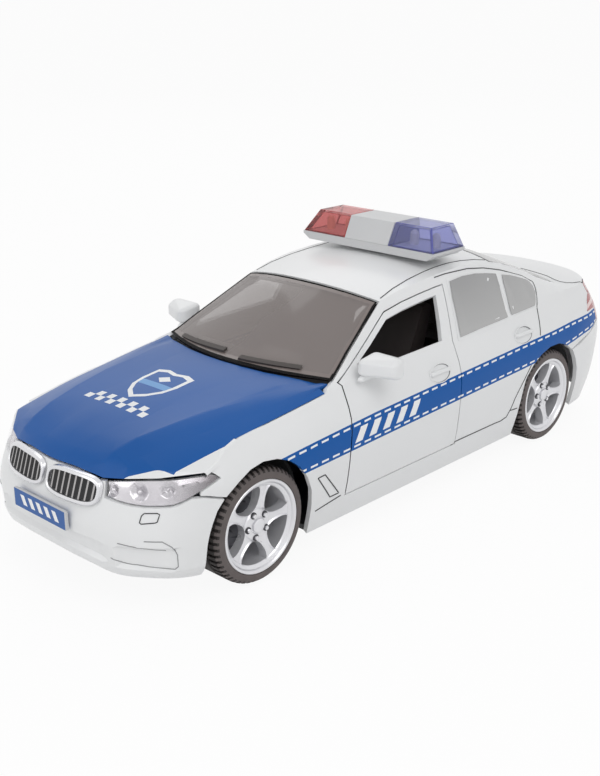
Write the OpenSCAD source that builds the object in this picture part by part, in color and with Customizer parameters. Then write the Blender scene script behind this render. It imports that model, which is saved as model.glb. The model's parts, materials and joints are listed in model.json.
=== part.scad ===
// Toy police saloon with opening front doors, a press-down light bar and a friction drive.
// X points forward, Y to the car's left and Z up. The origin is on the floor, under the middle of the car.

/* [Body] */
// Length of the car over its number plates
car_len = 290; // [270:1:310]
// Width of the body over its doors
body_w = 104; // [100:1:110]
// Height of the roof at its middle
roof_h = 87; // [84:1:92]
// Height of the body's lower edge above the floor
sill_h = 8.5; // [7:0.1:10]
// Height of the line under the doors
rocker_h = 18; // [16:0.1:20]
// Thickness of the body shell
wall = 1.8; // [1.4:0.1:2.2]
// Gap round doors, bumpers and lamps
panel_gap = 0.5; // [0.4:0.05:0.7]

/* [Wheels] */
// Distance between the axles
wheelbase = 175; // [170:1:180]
// Distance from the front plate to the front axle
front_overhang = 52.2; // [50:0.1:54]
// Outer diameter of a tyre
tyre_d = 40.9; // [38:0.1:42]
// Width of a tyre
tyre_w = 17; // [14:0.5:18]
// Diameter of the rim's outer lip
rim_d = 33.2; // [31:0.1:34]
// Distance between the outer faces of a pair of tyres
track_outer = 101; // [99:0.5:102]
// Radius of a wheel arch
arch_r = 23.8; // [23:0.1:25]
// Diameter of an axle
axle_d = 3; // [2.5:0.1:3.5]
// Number of spokes on a rim
spoke_count = 5; // [4:1:7]

/* [Doors] */
// Diameter of a hinge pin
hinge_pin_d = 1.6; // [1.4:0.1:2]
// Depth of the bevel on the door's leading edge
door_bevel = 1.8; // [1.6:0.1:2.2]

/* [Light bar] */
// Width of the light bar across the car
bar_w = 69; // [64:1:74]
// Length of the light bar along the car
bar_len = 20.5; // [18:0.5:22]
// Height of the light bar's base
bar_base_h = 3.2; // [2.8:0.1:4]
// Height of the light bar's lenses
bar_lens_h = 8.9; // [8:0.1:10]
// Width of the plain block between the lenses
bar_mid_w = 23; // [18:0.5:28]
// Gap under the light bar, over the middle of the roof
bar_lift = 1.3; // [1.2:0.1:2]
// Travel of the light bar when it is pressed
bar_travel = 0.9; // [0.6:0.1:1]

/* [Drive] */
// Module of the gears
gear_m = 0.6; // [0.55:0.01:0.62]
// Teeth on the axle gear
axle_teeth = 28; // [24:1:28]
// Teeth on a pinion
pinion_teeth = 10; // [10:1:11]
// Teeth on the idler gear
idler_teeth = 30; // [26:1:30]
// Radius of the flywheel
flywheel_r = 10; // [8:0.1:10.4]
// Thickness of the flywheel
flywheel_t = 4; // [3:0.1:4]

/* [Hidden] */
$fn = 48;

half_len = car_len / 2;
half_w = body_w / 2;
front_axle_x = half_len - front_overhang;
rear_axle_x = front_axle_x - wheelbase;
wheel_z = tyre_d / 2;

// Lines of the body, as shares of half the length, half the width and the roof's height.
// Each row holds the place along the car, then the half-width and the height there.
belt_shares = [[-0.95, [0.78, 0.722]], [-0.862, [0.8, 0.724]], [-0.724, [0.827, 0.724]],
    [-0.572, [0.865, 0.716]], [-0.414, [0.888, 0.703]], [-0.207, [0.894, 0.692]], [0, [0.894, 0.683]],
    [0.207, [0.89, 0.674]], [0.345, [0.885, 0.661]], [0.462, [0.879, 0.638]], [0.566, [0.865, 0.615]],
    [0.69, [0.846, 0.586]], [0.76, [0.82, 0.537]], [0.85, [0.78, 0.51]]];
crease_shares = [[-0.72, [0.97, 0.592]], [-0.57, [0.985, 0.593]], [-0.41, [0.985, 0.582]],
    [0, [0.985, 0.559]], [0.3, [0.983, 0.547]], [0.69, [0.965, 0.527]]];
rail_shares = [[-0.76, [0.7, 0.733]], [-0.735, [0.69, 0.738]], [-0.67, [0.66, 0.775]],
    [-0.57, [0.637, 0.845]], [-0.414, [0.644, 0.932]], [-0.28, [0.673, 0.965]], [-0.14, [0.68, 0.962]],
    [0, [0.672, 0.941]], [0.097, [0.65, 0.908]], [0.193, [0.719, 0.822]], [0.276, [0.781, 0.747]],
    [0.345, [0.836, 0.683]], [0.38, [0.862, 0.666]]];
// Middle line of the glass and roof: place of the rail, then place and height of the middle.
middle_shares = [[-0.735, [-0.772, 0.764]], [-0.6, [-0.625, 0.862]], [-0.39, [-0.405, 0.982]],
    [-0.276, [-0.28, 1]], [-0.138, [-0.135, 0.997]], [0, [0.02, 0.975]], [0.097, [0.128, 0.949]],
    [0.22, [0.28, 0.828]], [0.345, [0.43, 0.696]], [0.38, [0.47, 0.68]]];
// Nose and tail in side view: height, then place along the car.
nose_shares = [[0.095, 0.955], [0.138, 0.97], [0.23, 0.985], [0.31, 0.99], [0.356, 0.988],
    [0.402, 0.98], [0.448, 0.972], [0.506, 0.96], [0.56, 0.94]];
tail_shares = [[0.095, 0.955], [0.23, 0.982], [0.345, 0.995], [0.437, 1], [0.506, 0.99], [0.598, 0.974],
    [0.69, 0.96], [0.76, 0.95]];
sill_y_share = 0.927;
rocker_y_share = 0.967;
waist_y_share = 0.996;
waist_z_share = 0.38;
front_turn_share = 0.69;
rear_turn_share = 0.655;
tail_square = 3.2;
// Squareness of the nose in plan, by height.
nose_square_shares = [[0.095, 1.9], [0.15, 2.9], [0.24, 2.9], [0.34, 2.7], [0.46, 2.35], [0.56, 2.3]];
spine_x_share = 0.62;
spine_z_share = 0.46;
front_turn = front_turn_share * half_len;
rear_turn = rear_turn_share * half_len;

function mix(a, b, t) = a + (b - a) * t;
function clamp(v, lo, hi) = min(hi, max(lo, v));
function unit(v) = v / norm(v);
function flip(p) = [p.x, -p.y, p.z];

// Smooth curve through a table whose rows start with a rising key.
function span(tab, key, i = 0) =
    i >= len(tab) - 2 || key < tab[i + 1][0] ? i : span(tab, key, i + 1);
function secant(tab, i) = (tab[i + 1][1] - tab[i][1]) / (tab[i + 1][0] - tab[i][0]);
function slope(tab, i) =
    i == 0 ? secant(tab, 0)
    : i == len(tab) - 1 ? secant(tab, i - 1)
    : let (h = tab[i][0] - tab[i - 1][0], g = tab[i + 1][0] - tab[i][0])
      (secant(tab, i - 1) * g + secant(tab, i) * h) / (h + g);
function curve(tab, key) =
    let (i = span(tab, key), h = tab[i + 1][0] - tab[i][0])
    let (t = clamp((key - tab[i][0]) / h, 0, 1), s = 1 - t)
    tab[i][1] * (1 + 2 * t) * s * s + slope(tab, i) * h * t * s * s
    + tab[i + 1][1] * (1 + 2 * s) * t * t - slope(tab, i + 1) * h * s * t * t;
// Straight lines through the same kind of table.
function ramp(tab, key) =
    let (i = span(tab, key))
    mix(tab[i][1], tab[i + 1][1], clamp((key - tab[i][0]) / (tab[i + 1][0] - tab[i][0]), 0, 1));

// Outer face of the lower body.
function belt_z(x) = roof_h * curve(belt_shares, x / half_len)[1];
function section(x) =
    let (u = x / half_len, b = curve(belt_shares, u), c = curve(crease_shares, u))
    [[sill_h, half_w * sill_y_share], [rocker_h, half_w * rocker_y_share],
     [roof_h * waist_z_share, half_w * waist_y_share], [roof_h * c[1], half_w * c[0]],
     [roof_h * b[1], half_w * b[0]]];
function bow(t, n) = pow(max(0, 1 - pow(clamp(t, 0, 1), n)), 1 / n);
function nose_x(z) = half_len * curve(nose_shares, z / roof_h);
function tail_x(z) = half_len * curve(tail_shares, z / roof_h);
function nose_square(z) = curve(nose_square_shares, z / roof_h);
function side_y(x, z) =
    curve(section(clamp(x, -rear_turn, front_turn)), z)
    * (x > front_turn ? bow((x - front_turn) / (nose_x(z) - front_turn), nose_square(z))
       : x < -rear_turn ? bow((-x - rear_turn) / (tail_x(z) - rear_turn), tail_square) : 1);
function front_y(z) = curve(section(front_turn), z);
function rear_y(z) = curve(section(-rear_turn), z);
function front_x(y, z) = front_turn + (nose_x(z) - front_turn) * bow(abs(y) / front_y(z), nose_square(z));
function rear_x(y, z) = -rear_turn - (tail_x(z) - rear_turn) * bow(abs(y) / rear_y(z), tail_square);
// The nose and the tail by an angle that turns from the middle to the side.
function front_point(a, z) =
    let (e = 2 / nose_square(z))
    [front_turn + (nose_x(z) - front_turn) * pow(cos(a), e), front_y(z) * pow(sin(a), e), z];
function rear_point(a, z) =
    let (e = 2 / tail_square)
    [-rear_turn - (tail_x(z) - rear_turn) * pow(cos(a), e), rear_y(z) * pow(sin(a), e), z];
function front_angle(x, z) =
    acos(pow(clamp((x - front_turn) / (nose_x(z) - front_turn), 0, 1), nose_square(z) / 2));
function rear_angle(x, z) =
    acos(pow(clamp((-x - rear_turn) / (tail_x(z) - rear_turn), 0, 1), tail_square / 2));
// Half-length of the wheel arch at a height.
function arch_reach(z) =
    z <= wheel_z ? arch_r : sqrt(max(0, arch_r * arch_r - (z - wheel_z) * (z - wheel_z)));
// Direction from a point on the body toward its spine.
function inward(p) =
    let (s = spine_x_share * half_len)
    unit([clamp(p.x, -s, s) - p.x, -p.y, spine_z_share * roof_h - p.z]);
function sink(p, d) = p + inward(p) * d;

crown_power = 2.2;
// Top of the body: a curve over the car from an edge point to the middle.
function across(e, c, v) =
    [mix(e.x, c.x, 1 - (1 - v) * (1 - v)), e.y * (1 - v), mix(e.z, c.z, 1 - pow(1 - v, crown_power))];
function rail(x) =
    let (r = curve(rail_shares, x / half_len))
    [x, half_w * r[0], roof_h * r[1]];
function middle(x) =
    let (m = curve(middle_shares, x / half_len))
    [half_len * m[0], 0, roof_h * m[1]];
function over(x, v) = across(rail(x), middle(x), v);

// Closed shell between two point grids, over the cells that keep() picks.
function cell(w, i, j) = i * w + j;
module grid_shell(outer, inner, keep) {
    rows = len(outer);
    w = len(outer[0]);
    n = rows * w;
    pts = concat([for (r = outer) each r], [for (r = inner) each r]);
    has = function (i, j) i >= 0 && j >= 0 && i < rows - 1 && j < w - 1 && keep(i, j);
    quad = function (a, b, c, d)
        norm(pts[a] - pts[c]) <= norm(pts[b] - pts[d]) ? [[a, c, b], [a, d, c]] : [[a, d, b], [b, d, c]];
    faces = [for (i = [0 : rows - 2], j = [0 : w - 2]) if (has(i, j))
        let (a = cell(w, i, j), b = cell(w, i + 1, j), c = cell(w, i + 1, j + 1), d = cell(w, i, j + 1))
        each concat(
            quad(a, b, c, d), quad(n + d, n + c, n + b, n + a),
            has(i, j - 1) ? [] : quad(a, n + a, n + b, b),
            has(i, j + 1) ? [] : quad(c, n + c, n + d, d),
            has(i - 1, j) ? [] : quad(d, n + d, n + a, a),
            has(i + 1, j) ? [] : quad(b, n + b, n + c, c))];
    polyhedron(points = pts, faces = faces, convexity = 10);
}
function all_cells() = function (i, j) true;

// Lines across the nose and the tail: angle from the middle, then height.
lamp_low_shares = [[26, 0.445], [32, 0.435], [41, 0.428], [50, 0.428], [57, 0.431], [61, 0.4425],
    [65, 0.459], [70, 0.479], [78, 0.5066]];
bumper_top_shares = [[26, 0.445], [32, 0.435], [41, 0.428], [50, 0.428], [57, 0.431], [61, 0.4425],
    [65, 0.456], [70, 0.45], [81, 0.422]];
bumper_low_shares = [[0, 0.185], [16, 0.176], [27, 0.155], [48, 0.15], [63, 0.128], [80, 0.124]];
hood_line_shares = [[0, 0.512], [14, 0.514], [23, 0.5], [30, 0.508], [40, 0.518], [56, 0.5235],
    [66, 0.5265], [74, 0.5285], [78, 0.542], [84, 0.563], [90, 0.586]];
rear_top_shares = [[0, 0.51], [30, 0.528], [66.5, 0.529], [75, 0.502], [82, 0.473], [90, 0.437]];
lamp_in_a = 26;
lamp_out_a = 78;
lamp_top_out_a = 74;
wedge_a = 67.5;
arch_line_a = 80;
tail_lamp_out_a = 66.5;
deck_corner_angles = [58, 50];
lip_a = 43;
function lamp_low(a) = roof_h * curve(lamp_low_shares, a);
function bumper_top(a) = roof_h * curve(bumper_top_shares, a);
function bumper_low(a) = roof_h * curve(bumper_low_shares, a);
function hood_line(a) = roof_h * curve(hood_line_shares, a);
function rear_top(a) = roof_h * ramp(rear_top_shares, a);

// Columns of the body grid, each with its foot [x, z], its belt point [x, z] and its place on the rail.
front_arch_z = bumper_top(arch_line_a) + panel_gap;
front_arch_a = asin((front_arch_z - wheel_z) / arch_r);
rear_arch_z = rear_top(90) + panel_gap;
rear_arch_a = 180 - asin((rear_arch_z - wheel_z) / arch_r);
// Tops of the wing columns: angles round the nose, then places along the side.
wing_top_angles = [lamp_top_out_a, 79, 85];
wing_top_shares = [0.669, 0.624, 0.583, 0.545, 0.514, 0.49];
leg_top_share = 0.45;
arch_steps = len(wing_top_angles) + len(wing_top_shares);
wedge_steps = 3;
leg_steps = 2;
function side_view(p) = [p.x, p.z];
function arch_foot(x, a) = [x + arch_r * cos(a), wheel_z + arch_r * sin(a)];
function belt_top(x) = [x, belt_z(x)];
function wing_top(k) =
    let (n = len(wing_top_angles))
    k < n ? side_view(front_point(wing_top_angles[k], hood_line(wing_top_angles[k])))
    : belt_top(half_len * wing_top_shares[k - n]);
wedge_end_a = front_angle(front_axle_x + arch_reach(front_arch_z), front_arch_z);
front_cols = concat(
    [for (k = [0 : wedge_steps - 1])
        let (t = k / wedge_steps, a = mix(wedge_a, wedge_end_a, t), b = mix(wedge_a, lamp_out_a, t))
        [side_view(front_point(a, bumper_top(a) + panel_gap)), side_view(front_point(b, lamp_low(b))), 0]],
    [for (k = [0 : arch_steps])
        [arch_foot(front_axle_x, mix(front_arch_a, 180, k / arch_steps)),
         k == 0 ? side_view(front_point(lamp_out_a, lamp_low(lamp_out_a))) : wing_top(k - 1), 0]],
    [for (k = [1 : leg_steps])
        let (t = k / leg_steps)
        [[front_axle_x - arch_r, mix(wheel_z, sill_h, t)],
         belt_top(half_len * mix(wing_top_shares[len(wing_top_shares) - 1], leg_top_share, t)), 0]]);
// Columns from the front pillar to the rear side glass: places of foot, belt and rail, then gap steps.
cabin_shares = [[0.41, 0.392, 0.38, 0], [0.357, 0.335, 0.345, 0.5], [0.357, 0.335, 0.345, -0.5],
    [0.305, 0.295, 0.303, 0], [0.262, 0.252, 0.262, 0], [0.195, 0.19, 0.19, 0], [0.125, 0.12, 0.097, 0],
    [0.055, 0.055, 0.03, 0], [0, -0.005, -0.04, 0], [-0.06, -0.062, -0.108, 0],
    [-0.1, -0.107, -0.141, 0.5], [-0.1, -0.107, -0.141, -0.5], [-0.165, -0.165, -0.165, 0],
    [-0.205, -0.208, -0.215, 0], [-0.26, -0.27, -0.275, 0], [-0.31, -0.33, -0.335, 0],
    [-0.35, -0.388, -0.39, 0], [-0.378, -0.414, -0.42, 0]];
mid_cols = [for (c = cabin_shares)
    let (g = panel_gap * c[3], x = half_len * c[1] + g)
    [[half_len * c[0] + g, sill_h], [x, belt_z(x)], half_len * c[2] + g]];
// Columns over the rear arch: angle on the arch, then places of belt and rail.
rear_leg_shares = [[0, -0.445, -0.455], [1, -0.485, -0.5]];
rear_arch_shares = [[15, -0.508, -0.525], [35, -0.531, -0.552], [50, -0.557, -0.58],
    [66, -0.587, -0.612], [82, -0.622, -0.648], [98, -0.66, -0.68], [115, -0.7, -0.71]];
rear_pillar_share = -0.735;
quarter_shares = [-0.785, -0.838];
rear_cols = concat(
    [for (c = rear_leg_shares)
        [[rear_axle_x + arch_r, mix(sill_h, wheel_z, c[0])], belt_top(half_len * c[1]), half_len * c[2]]],
    [for (c = rear_arch_shares)
        [arch_foot(rear_axle_x, c[0]), belt_top(half_len * c[1]), half_len * c[2]]],
    [let (x = half_len * rear_pillar_share) [arch_foot(rear_axle_x, rear_arch_a), belt_top(x), x]],
    [for (k = [0, 1])
        let (a = mix(90, tail_lamp_out_a, (k + 1) / 2), x = half_len * quarter_shares[k])
        [side_view(rear_point(a, rear_top(a) + panel_gap)), belt_top(x), 0]]);
cols = concat(front_cols, mid_cols, rear_cols);
pillar_i = len(front_cols);
door_i = pillar_i + 2;
glass_i = pillar_i + 4;
header_i = pillar_i + 6;
glass_end_i = pillar_i + 9;
door_end_i = pillar_i + 10;
rear_glass_i = pillar_i + 12;
stem_i = pillar_i + 12;
rear_header_i = pillar_i + 16;
quarter_glass_i = pillar_i + 17;
quarter_glass_end_i = pillar_i + 21;
deck_i = pillar_i + 27;
quarter_i = deck_i + 2;
lip_i = quarter_i + 3;
panel_steps = 3;
last_i = lip_i + panel_steps;

// Rows of the body grid: the sill, the door, the side window and the top.
sill_row_shares = [0, 0.5, 1];
door_row_shares = [0, 0.14, 0.3, 0.46, 0.6, 0.72, 0.82, 0.91, 1];
top_row_shares = [0, 0.12, 0.3, 0.5, 0.7, 0.9, 1];
sill_lift_share = 0.12;
door_j = len(sill_row_shares);
belt_j = door_j + len(door_row_shares) - 1;
ledge_j = belt_j + 1;
frame_j = ledge_j + 3;
door_top_j = frame_j + 1;
band_j = door_top_j + 1;
rail_j = band_j + 1;
middle_j = rail_j + len(top_row_shares) - 1;
// Widths of the ledge under the side windows, the door frame over them and the band over the door
ledge_w = 2.4;
frame_w = 4.2;
band_w = 6.2;
band_soft = 14;
cabin_bulge = 0.8;

function low_point(c, j) =
    let (zb = c[0][1], zt = c[1][1], zr = max(rocker_h, mix(zb, zt, sill_lift_share)))
    let (z = j < door_j ? mix(zb, zr - panel_gap / 2, sill_row_shares[j])
             : mix(zr + panel_gap / 2, zt, door_row_shares[j - door_j]))
    let (x = mix(c[0][0], c[1][0], (z - zb) / (zt - zb)))
    [x, side_y(x, z), z];
function belt_point(c) = [c[1][0], side_y(c[1][0], c[1][1]), c[1][1]];
function cabin_point(c, j) =
    let (a = belt_point(c), b = rail(c[2]), h = norm(b - a), k = h / (h + band_soft))
    let (lo = ledge_w * k, hi = h - (band_w + frame_w) * k - panel_gap)
    let (d = [lo, mix(lo, hi, 1 / 3), mix(lo, hi, 2 / 3), hi, hi + frame_w * k, h - band_w * k, h])
    let (t = d[j - ledge_j] / h)
    mix(a, b, t) + [0, cabin_bulge * 4 * t * (1 - t) * k, 0];
// The boot lid: edge and middle points of its columns, from the rear pillar to the lip.
deck_middle_shares = [[-0.772, 0.764], [-0.815, 0.762], [-0.855, 0.758], [-0.885, 0.752], [-0.91, 0.745]];
lip_rise_share = 0.738;
deck_edge_shares = [0.17, 0.19, 0.22, 0.25, 0.29, 0.32];
belt_rear_z = belt_z(-half_len);
function deck_edge(k) =
    k <= 2 ? belt_point(cols[deck_i + k])
    : k <= 4 ? rear_point(deck_corner_angles[k - 3], belt_rear_z) : rear_point(lip_a, belt_rear_z);
function deck_v(k, j) =
    let (e = deck_edge_shares[k])
    j <= rail_j ? e * (j - belt_j) / (rail_j - belt_j) : mix(e, 1, top_row_shares[j - rail_j]);
function deck_point(k, j) =
    let (v = deck_v(k, j), e = deck_edge(k), m = deck_middle_shares[k])
    across(e, [half_len * m[0], 0, roof_h * m[1]], v);
function lip_point(j) =
    let (e = deck_edge(5), v = deck_v(5, j), y = e.y * (1 - v))
    let (z = mix(e.z, roof_h * lip_rise_share, 1 - (1 - v) * (1 - v)))
    [rear_x(y, z), y, z];
function panel_point(k, j) =
    let (p = lip_point(max(j, rail_j)), a = asin(pow(p.y / rear_y(p.z), tail_square / 2)))
    let (z = mix(p.z, rear_top(a) + panel_gap, k / panel_steps))
    [rear_x(p.y, z), p.y, z];
function body_point(i, j) =
    i > lip_i ? panel_point(i - lip_i, j)
    : i == lip_i ? lip_point(max(j, belt_j))
    : i > quarter_i ? deck_point(i - deck_i, max(j, belt_j))
    : j <= belt_j ? low_point(cols[i], j)
    : i > deck_i ? deck_point(i - deck_i, j)
    : i < pillar_i ? belt_point(cols[i])
    : j <= rail_j ? cabin_point(cols[i], j) : over(cols[i][2], top_row_shares[j - rail_j]);

half_grid = [for (i = [0 : last_i]) [for (j = [0 : middle_j]) body_point(i, j)]];
function mirror_rows(g) = [for (r = g) concat(r, [for (j = [len(r) - 2 : -1 : 0]) flip(r[j])])];
function sink_grid(g, d) = [for (r = g) [for (p = r) sink(p, d)]];
function between(v, lo, hi) = v >= lo && v < hi;
function body_cell(i, j) =
    let (door = between(i, door_i - 1, door_end_i + 1))
    j < belt_j ? i < quarter_i && !(door && j >= door_j - 1)
    : i >= lip_i ? j >= rail_j
    : i >= deck_i ? true
    : i < pillar_i ? false
    : j < rail_j ? !(door && j < band_j)
        && !(between(j, ledge_j, frame_j)
             && (between(i, rear_glass_i, rear_header_i) || between(i, quarter_glass_i, quarter_glass_end_i)))
    : between(i, header_i, rear_header_i) && !(i == stem_i && j == middle_j - 1);
function door_cell(i, j) =
    j >= door_j && j < door_top_j
    && !(between(j, ledge_j, frame_j) && between(i, glass_i - door_i, glass_end_i - door_i));

module body_shell() color("white") {
    g = mirror_rows(half_grid);
    grid_shell(g, sink_grid(g, wall), function (i, j) body_cell(i, j < middle_j ? j : 2 * middle_j - 1 - j));
}

// Left front door; the leading edge is bevelled inside so that it turns past the wing.
module door() {
    g = [for (i = [door_i : door_end_i]) [for (j = [0 : rail_j]) half_grid[i][j]]];
    s = [for (i = [0 : len(g) - 1]) [for (p = g[i]) sink(p, wall) - [i == 0 ? door_bevel : 0, 0, 0]]];
    grid_shell(g, s, function (i, j) door_cell(i, j));
}
module front_door_left() color("white") door();
module front_door_right() color("white") mirror([0, 1, 0]) door();

// Bonnet: edge angle or place, then middle place and height of its columns, from the front to the screen.
hood_angles = [lamp_top_out_a, 78, 82, 86];
hood_edge_shares = [0.676, 0.593, 0.51, 0.435, 0.352];
hood_middle_shares = [[0.962, 0.512], [0.948, 0.546], [0.927, 0.571], [0.875, 0.604], [0.78, 0.635],
    [0.683, 0.659], [0.593, 0.677], [0.51, 0.689], [0.437, 0.69]];
hood_crease_shares = [0.66, 0.69, 0.68, 0.62, 0.52, 0.42, 0.32, 0.22, 0.14];
hood_row_shares = [0, 0.25, 0.5, 0.75, 1];
hood_top_row_shares = [0.25, 0.5, 0.75, 1];
hood_flank_rise = 0.8;
hood_gap_share = 1.25;
hood_gap = panel_gap * hood_gap_share;
hood_square = 2.3;
hood_blend_cols = 5;
crease_blend_cols = 2;
function hood_edge(k) =
    let (n = len(hood_angles))
    k < n ? front_point(hood_angles[k], hood_line(hood_angles[k]) + panel_gap)
    : let (x = half_len * hood_edge_shares[k - n]) [x, side_y(x, belt_z(x)), belt_z(x)];
function hood_rim(k) = hood_edge(k) - [0, hood_gap, 0];
function hood_point(k, v) =
    let (e = hood_rim(k), m = hood_middle_shares[k], f = hood_crease_shares[k], y = e.y * (1 - v))
    let (p = across(e, [half_len * m[0], 0, roof_h * m[1]], v))
    let (x = mix(e.x, half_len * m[0], bow(1 - v, hood_square)), w = max(0, 1 - k / hood_blend_cols))
    k == 0
    ? let (a = asin(pow(y / front_y(e.z), nose_square(e.z) / 2)), z = hood_line(a) + panel_gap)
      [front_x(y, z), y, z]
    : let (rise = hood_flank_rise * min(1, k / crease_blend_cols))
      [mix(p.x, x, w), p.y, p.z + (v < f ? rise * sin(180 * v / f) : 0)];
function hood_rows(k) =
    let (f = hood_crease_shares[k])
    concat([for (t = hood_row_shares) f * t], [for (t = hood_top_row_shares) mix(f, 1, t)]);
// The rear corners are cut back from the feet of the screen pillars.
hood_foot_x = half_len * cabin_shares[0][1] + panel_gap;
hood_foot_y = side_y(hood_foot_x, belt_z(hood_foot_x)) - 2 * wall - panel_gap / 2;
module hood() color("royalblue") {
    n = len(hood_middle_shares);
    g = mirror_rows([for (k = [0 : n - 1]) [for (v = hood_rows(k)) hood_point(k, v)]]);
    difference() {
        grid_shell(g, sink_grid(g, wall), all_cells());
        for (m = [0, 1]) mirror([0, m, 0]) translate([0, hood_foot_y, 0]) cube([hood_foot_x, half_w, roof_h]);
    }
}

// Front bumper: angles of its columns, share of the way to the arch, and shares of the way up its rows.
bumper_angles = [0, 6, 12, 18, 22, 25.6, 29, 32, 35, 38, 44, 50, 55, 59];
bumper_end_shares = [0.25, 0.5, 0.75, 1];
bumper_row_shares = [0, 0.1, 0.2, 0.27, 0.62, 0.7, 0.85, 1];
bumper_belt_share = 0.34;
bumper_top_row_shares = [0.5, 1];
grille_row_shares = [0.33, 0.66, 1];
grille_wall_i = 5;
intake_depth = 1.4;
fog_depth = 1;
intake_last_i = 4;
fog_first_i = 7;
fog_last_i = 14;
recess_rows = [3, 4];
bumper_last_a = bumper_angles[len(bumper_angles) - 1];
function bumper_z(j, a) =
    let (n = len(bumper_row_shares), z = roof_h * bumper_belt_share, t = bumper_top(a) - panel_gap / 2)
    j < n ? mix(max(sill_h, bumper_low(a)), z, bumper_row_shares[j])
    : j < n + len(bumper_top_row_shares) ? mix(z, t, bumper_top_row_shares[j - n])
    : mix(t, hood_line(a) - panel_gap / 2, grille_row_shares[j - n - len(bumper_top_row_shares)]);
function recess(i, j) =
    !(j == recess_rows[0] || j == recess_rows[1]) ? 0
    : i <= intake_last_i ? intake_depth
    : between(i, fog_first_i, fog_last_i) ? fog_depth : 0;
function bumper_point(i, j) =
    let (n = len(bumper_angles), fixed = i < n, b = fixed ? bumper_angles[i] : bumper_last_a)
    let (z0 = bumper_z(j, fixed ? b : wedge_end_a))
    let (e = front_angle(front_axle_x + arch_reach(z0), z0))
    let (a = fixed ? b : mix(b, e, bumper_end_shares[i - n]), z = fixed ? z0 : bumper_z(j, a))
    sink(front_point(a, z), recess(i, j));
module front_bumper() color("white") {
    n = len(bumper_angles) + len(bumper_end_shares);
    m = len(bumper_row_shares) + len(bumper_top_row_shares);
    w = m + len(grille_row_shares);
    g = [for (i = [0 : n - 1]) [for (j = [0 : w - 1]) bumper_point(i, j)]];
    full = concat([for (i = [n - 1 : -1 : 1]) [for (p = g[i]) flip(p)]], g);
    grid_shell(full, sink_grid(full, wall), function (i, j)
        let (k = i < n - 1 ? n - 2 - i : i - n + 1)
        j < m - 1 || k < grille_wall_i);
}

// Rear bumper.
rear_angles = [0, 10, 20, 30, 38, 46, 54, 60, 66.5, 71, 76];
rear_end_shares = [0.33, 0.66, 1];
rear_row_shares = [0.105, 0.15, 0.2, 0.26, 0.32, 0.38, 0.41];
rear_top_row_shares = [0.5, 1];
function rear_z(j, a) =
    let (n = len(rear_row_shares), t = rear_top(a) - panel_gap / 2)
    let (lo = rear_row_shares[0], hi = rear_row_shares[n - 1])
    let (f = j < n ? (rear_row_shares[j] - lo) / (hi - lo) : 1)
    let (z = mix(roof_h * lo, min(roof_h * hi, t - wall), f))
    j < n ? z : mix(z, t, rear_top_row_shares[j - n]);
function rear_bumper_point(i, j) =
    let (n = len(rear_angles), b = rear_angles[min(i, n - 1)])
    let (z0 = rear_z(j, i < n ? b : 90), e = rear_angle(rear_axle_x - arch_reach(z0), z0))
    let (a = i < n ? b : mix(b, e, rear_end_shares[i - n]))
    rear_point(a, rear_z(j, a));
module rear_bumper() color("white") {
    n = len(rear_angles) + len(rear_end_shares);
    w = len(rear_row_shares) + len(rear_top_row_shares);
    h = [for (i = [0 : n - 1]) [for (j = [0 : w - 1]) rear_bumper_point(i, j)]];
    full = concat([for (i = [n - 1 : -1 : 1]) h[i]], [for (r = h) [for (p = r) flip(p)]]);
    grid_shell(full, sink_grid(full, wall), all_cells());
}

// Lamps set into the nose and the tail.
lens_t = 1.2;
lamp_steps = 12;
lamp_rows = 4;
reflector_depth = 5;
reflector_seat = 0.1;
reflector_t = 0.8;
reflector_inset = 1.2;
lamp_inset = 0.3;
lamp_inset_a = 0.4;
reflector_inset_a = 1.6;
// Grid of a headlight, drawn in by a length at its long edges and by an angle at its ends.
function lamp_grid(e, ea) = [for (k = [0 : lamp_steps]) [for (j = [0 : lamp_rows])
    let (t = k / lamp_steps, s = j / lamp_rows)
    let (lo = mix(lamp_in_a + ea, lamp_out_a - ea, t), hi = mix(lamp_in_a + ea, lamp_top_out_a - ea, t))
    front_point(mix(lo, hi, s), mix(lamp_low(lo) + panel_gap / 2 + e, hood_line(hi) - e, s))]];
function flip_grid(g) = [for (r = g) [for (p = r) flip(p)]];
module headlight_lens() {
    g = flip_grid(lamp_grid(lamp_inset, lamp_inset_a));
    mirror([0, 1, 0]) grid_shell(g, sink_grid(g, lens_t), all_cells());
}
module headlight_lens_left() color("lightcyan") headlight_lens();
module headlight_lens_right() color("lightcyan") mirror([0, 1, 0]) headlight_lens();
// Reflector bowl: its rim meets the back of the lens.
module lamp_bowl() {
    g = flip_grid(lamp_grid(reflector_inset, reflector_inset_a));
    depth = function (k, j)
        k == 0 || k == lamp_steps || j == 0 || j == lamp_rows ? lens_t + reflector_seat : reflector_depth;
    bowl = function (t)
        [for (k = [0 : lamp_steps]) [for (j = [0 : lamp_rows]) sink(g[k][j], depth(k, j) + t)]];
    mirror([0, 1, 0]) grid_shell(bowl(0), bowl(reflector_t), all_cells());
}
module headlight_reflectors() color("silver") for (m = [0, 1]) mirror([0, m, 0]) lamp_bowl();
tail_lens_t = 2;
tail_lamp_in_y = lip_point(rail_j).y + panel_gap;
function tail_in_a(z) = asin(pow(tail_lamp_in_y / rear_y(z), tail_square / 2));
function tail_out_a(z) =
    let (c = cols[quarter_i], t = (z - c[0][1]) / (c[1][1] - c[0][1]))
    rear_angle(mix(c[0][0], c[1][0], t) - panel_gap, z);
function tail_lamp_point(t, s) =
    let (b = mix(tail_in_a(belt_rear_z), tail_lamp_out_a, t))
    let (z = mix(rear_top(b) + panel_gap, belt_rear_z - panel_gap, s))
    rear_point(mix(tail_in_a(z), tail_out_a(z), t), z);
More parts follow.
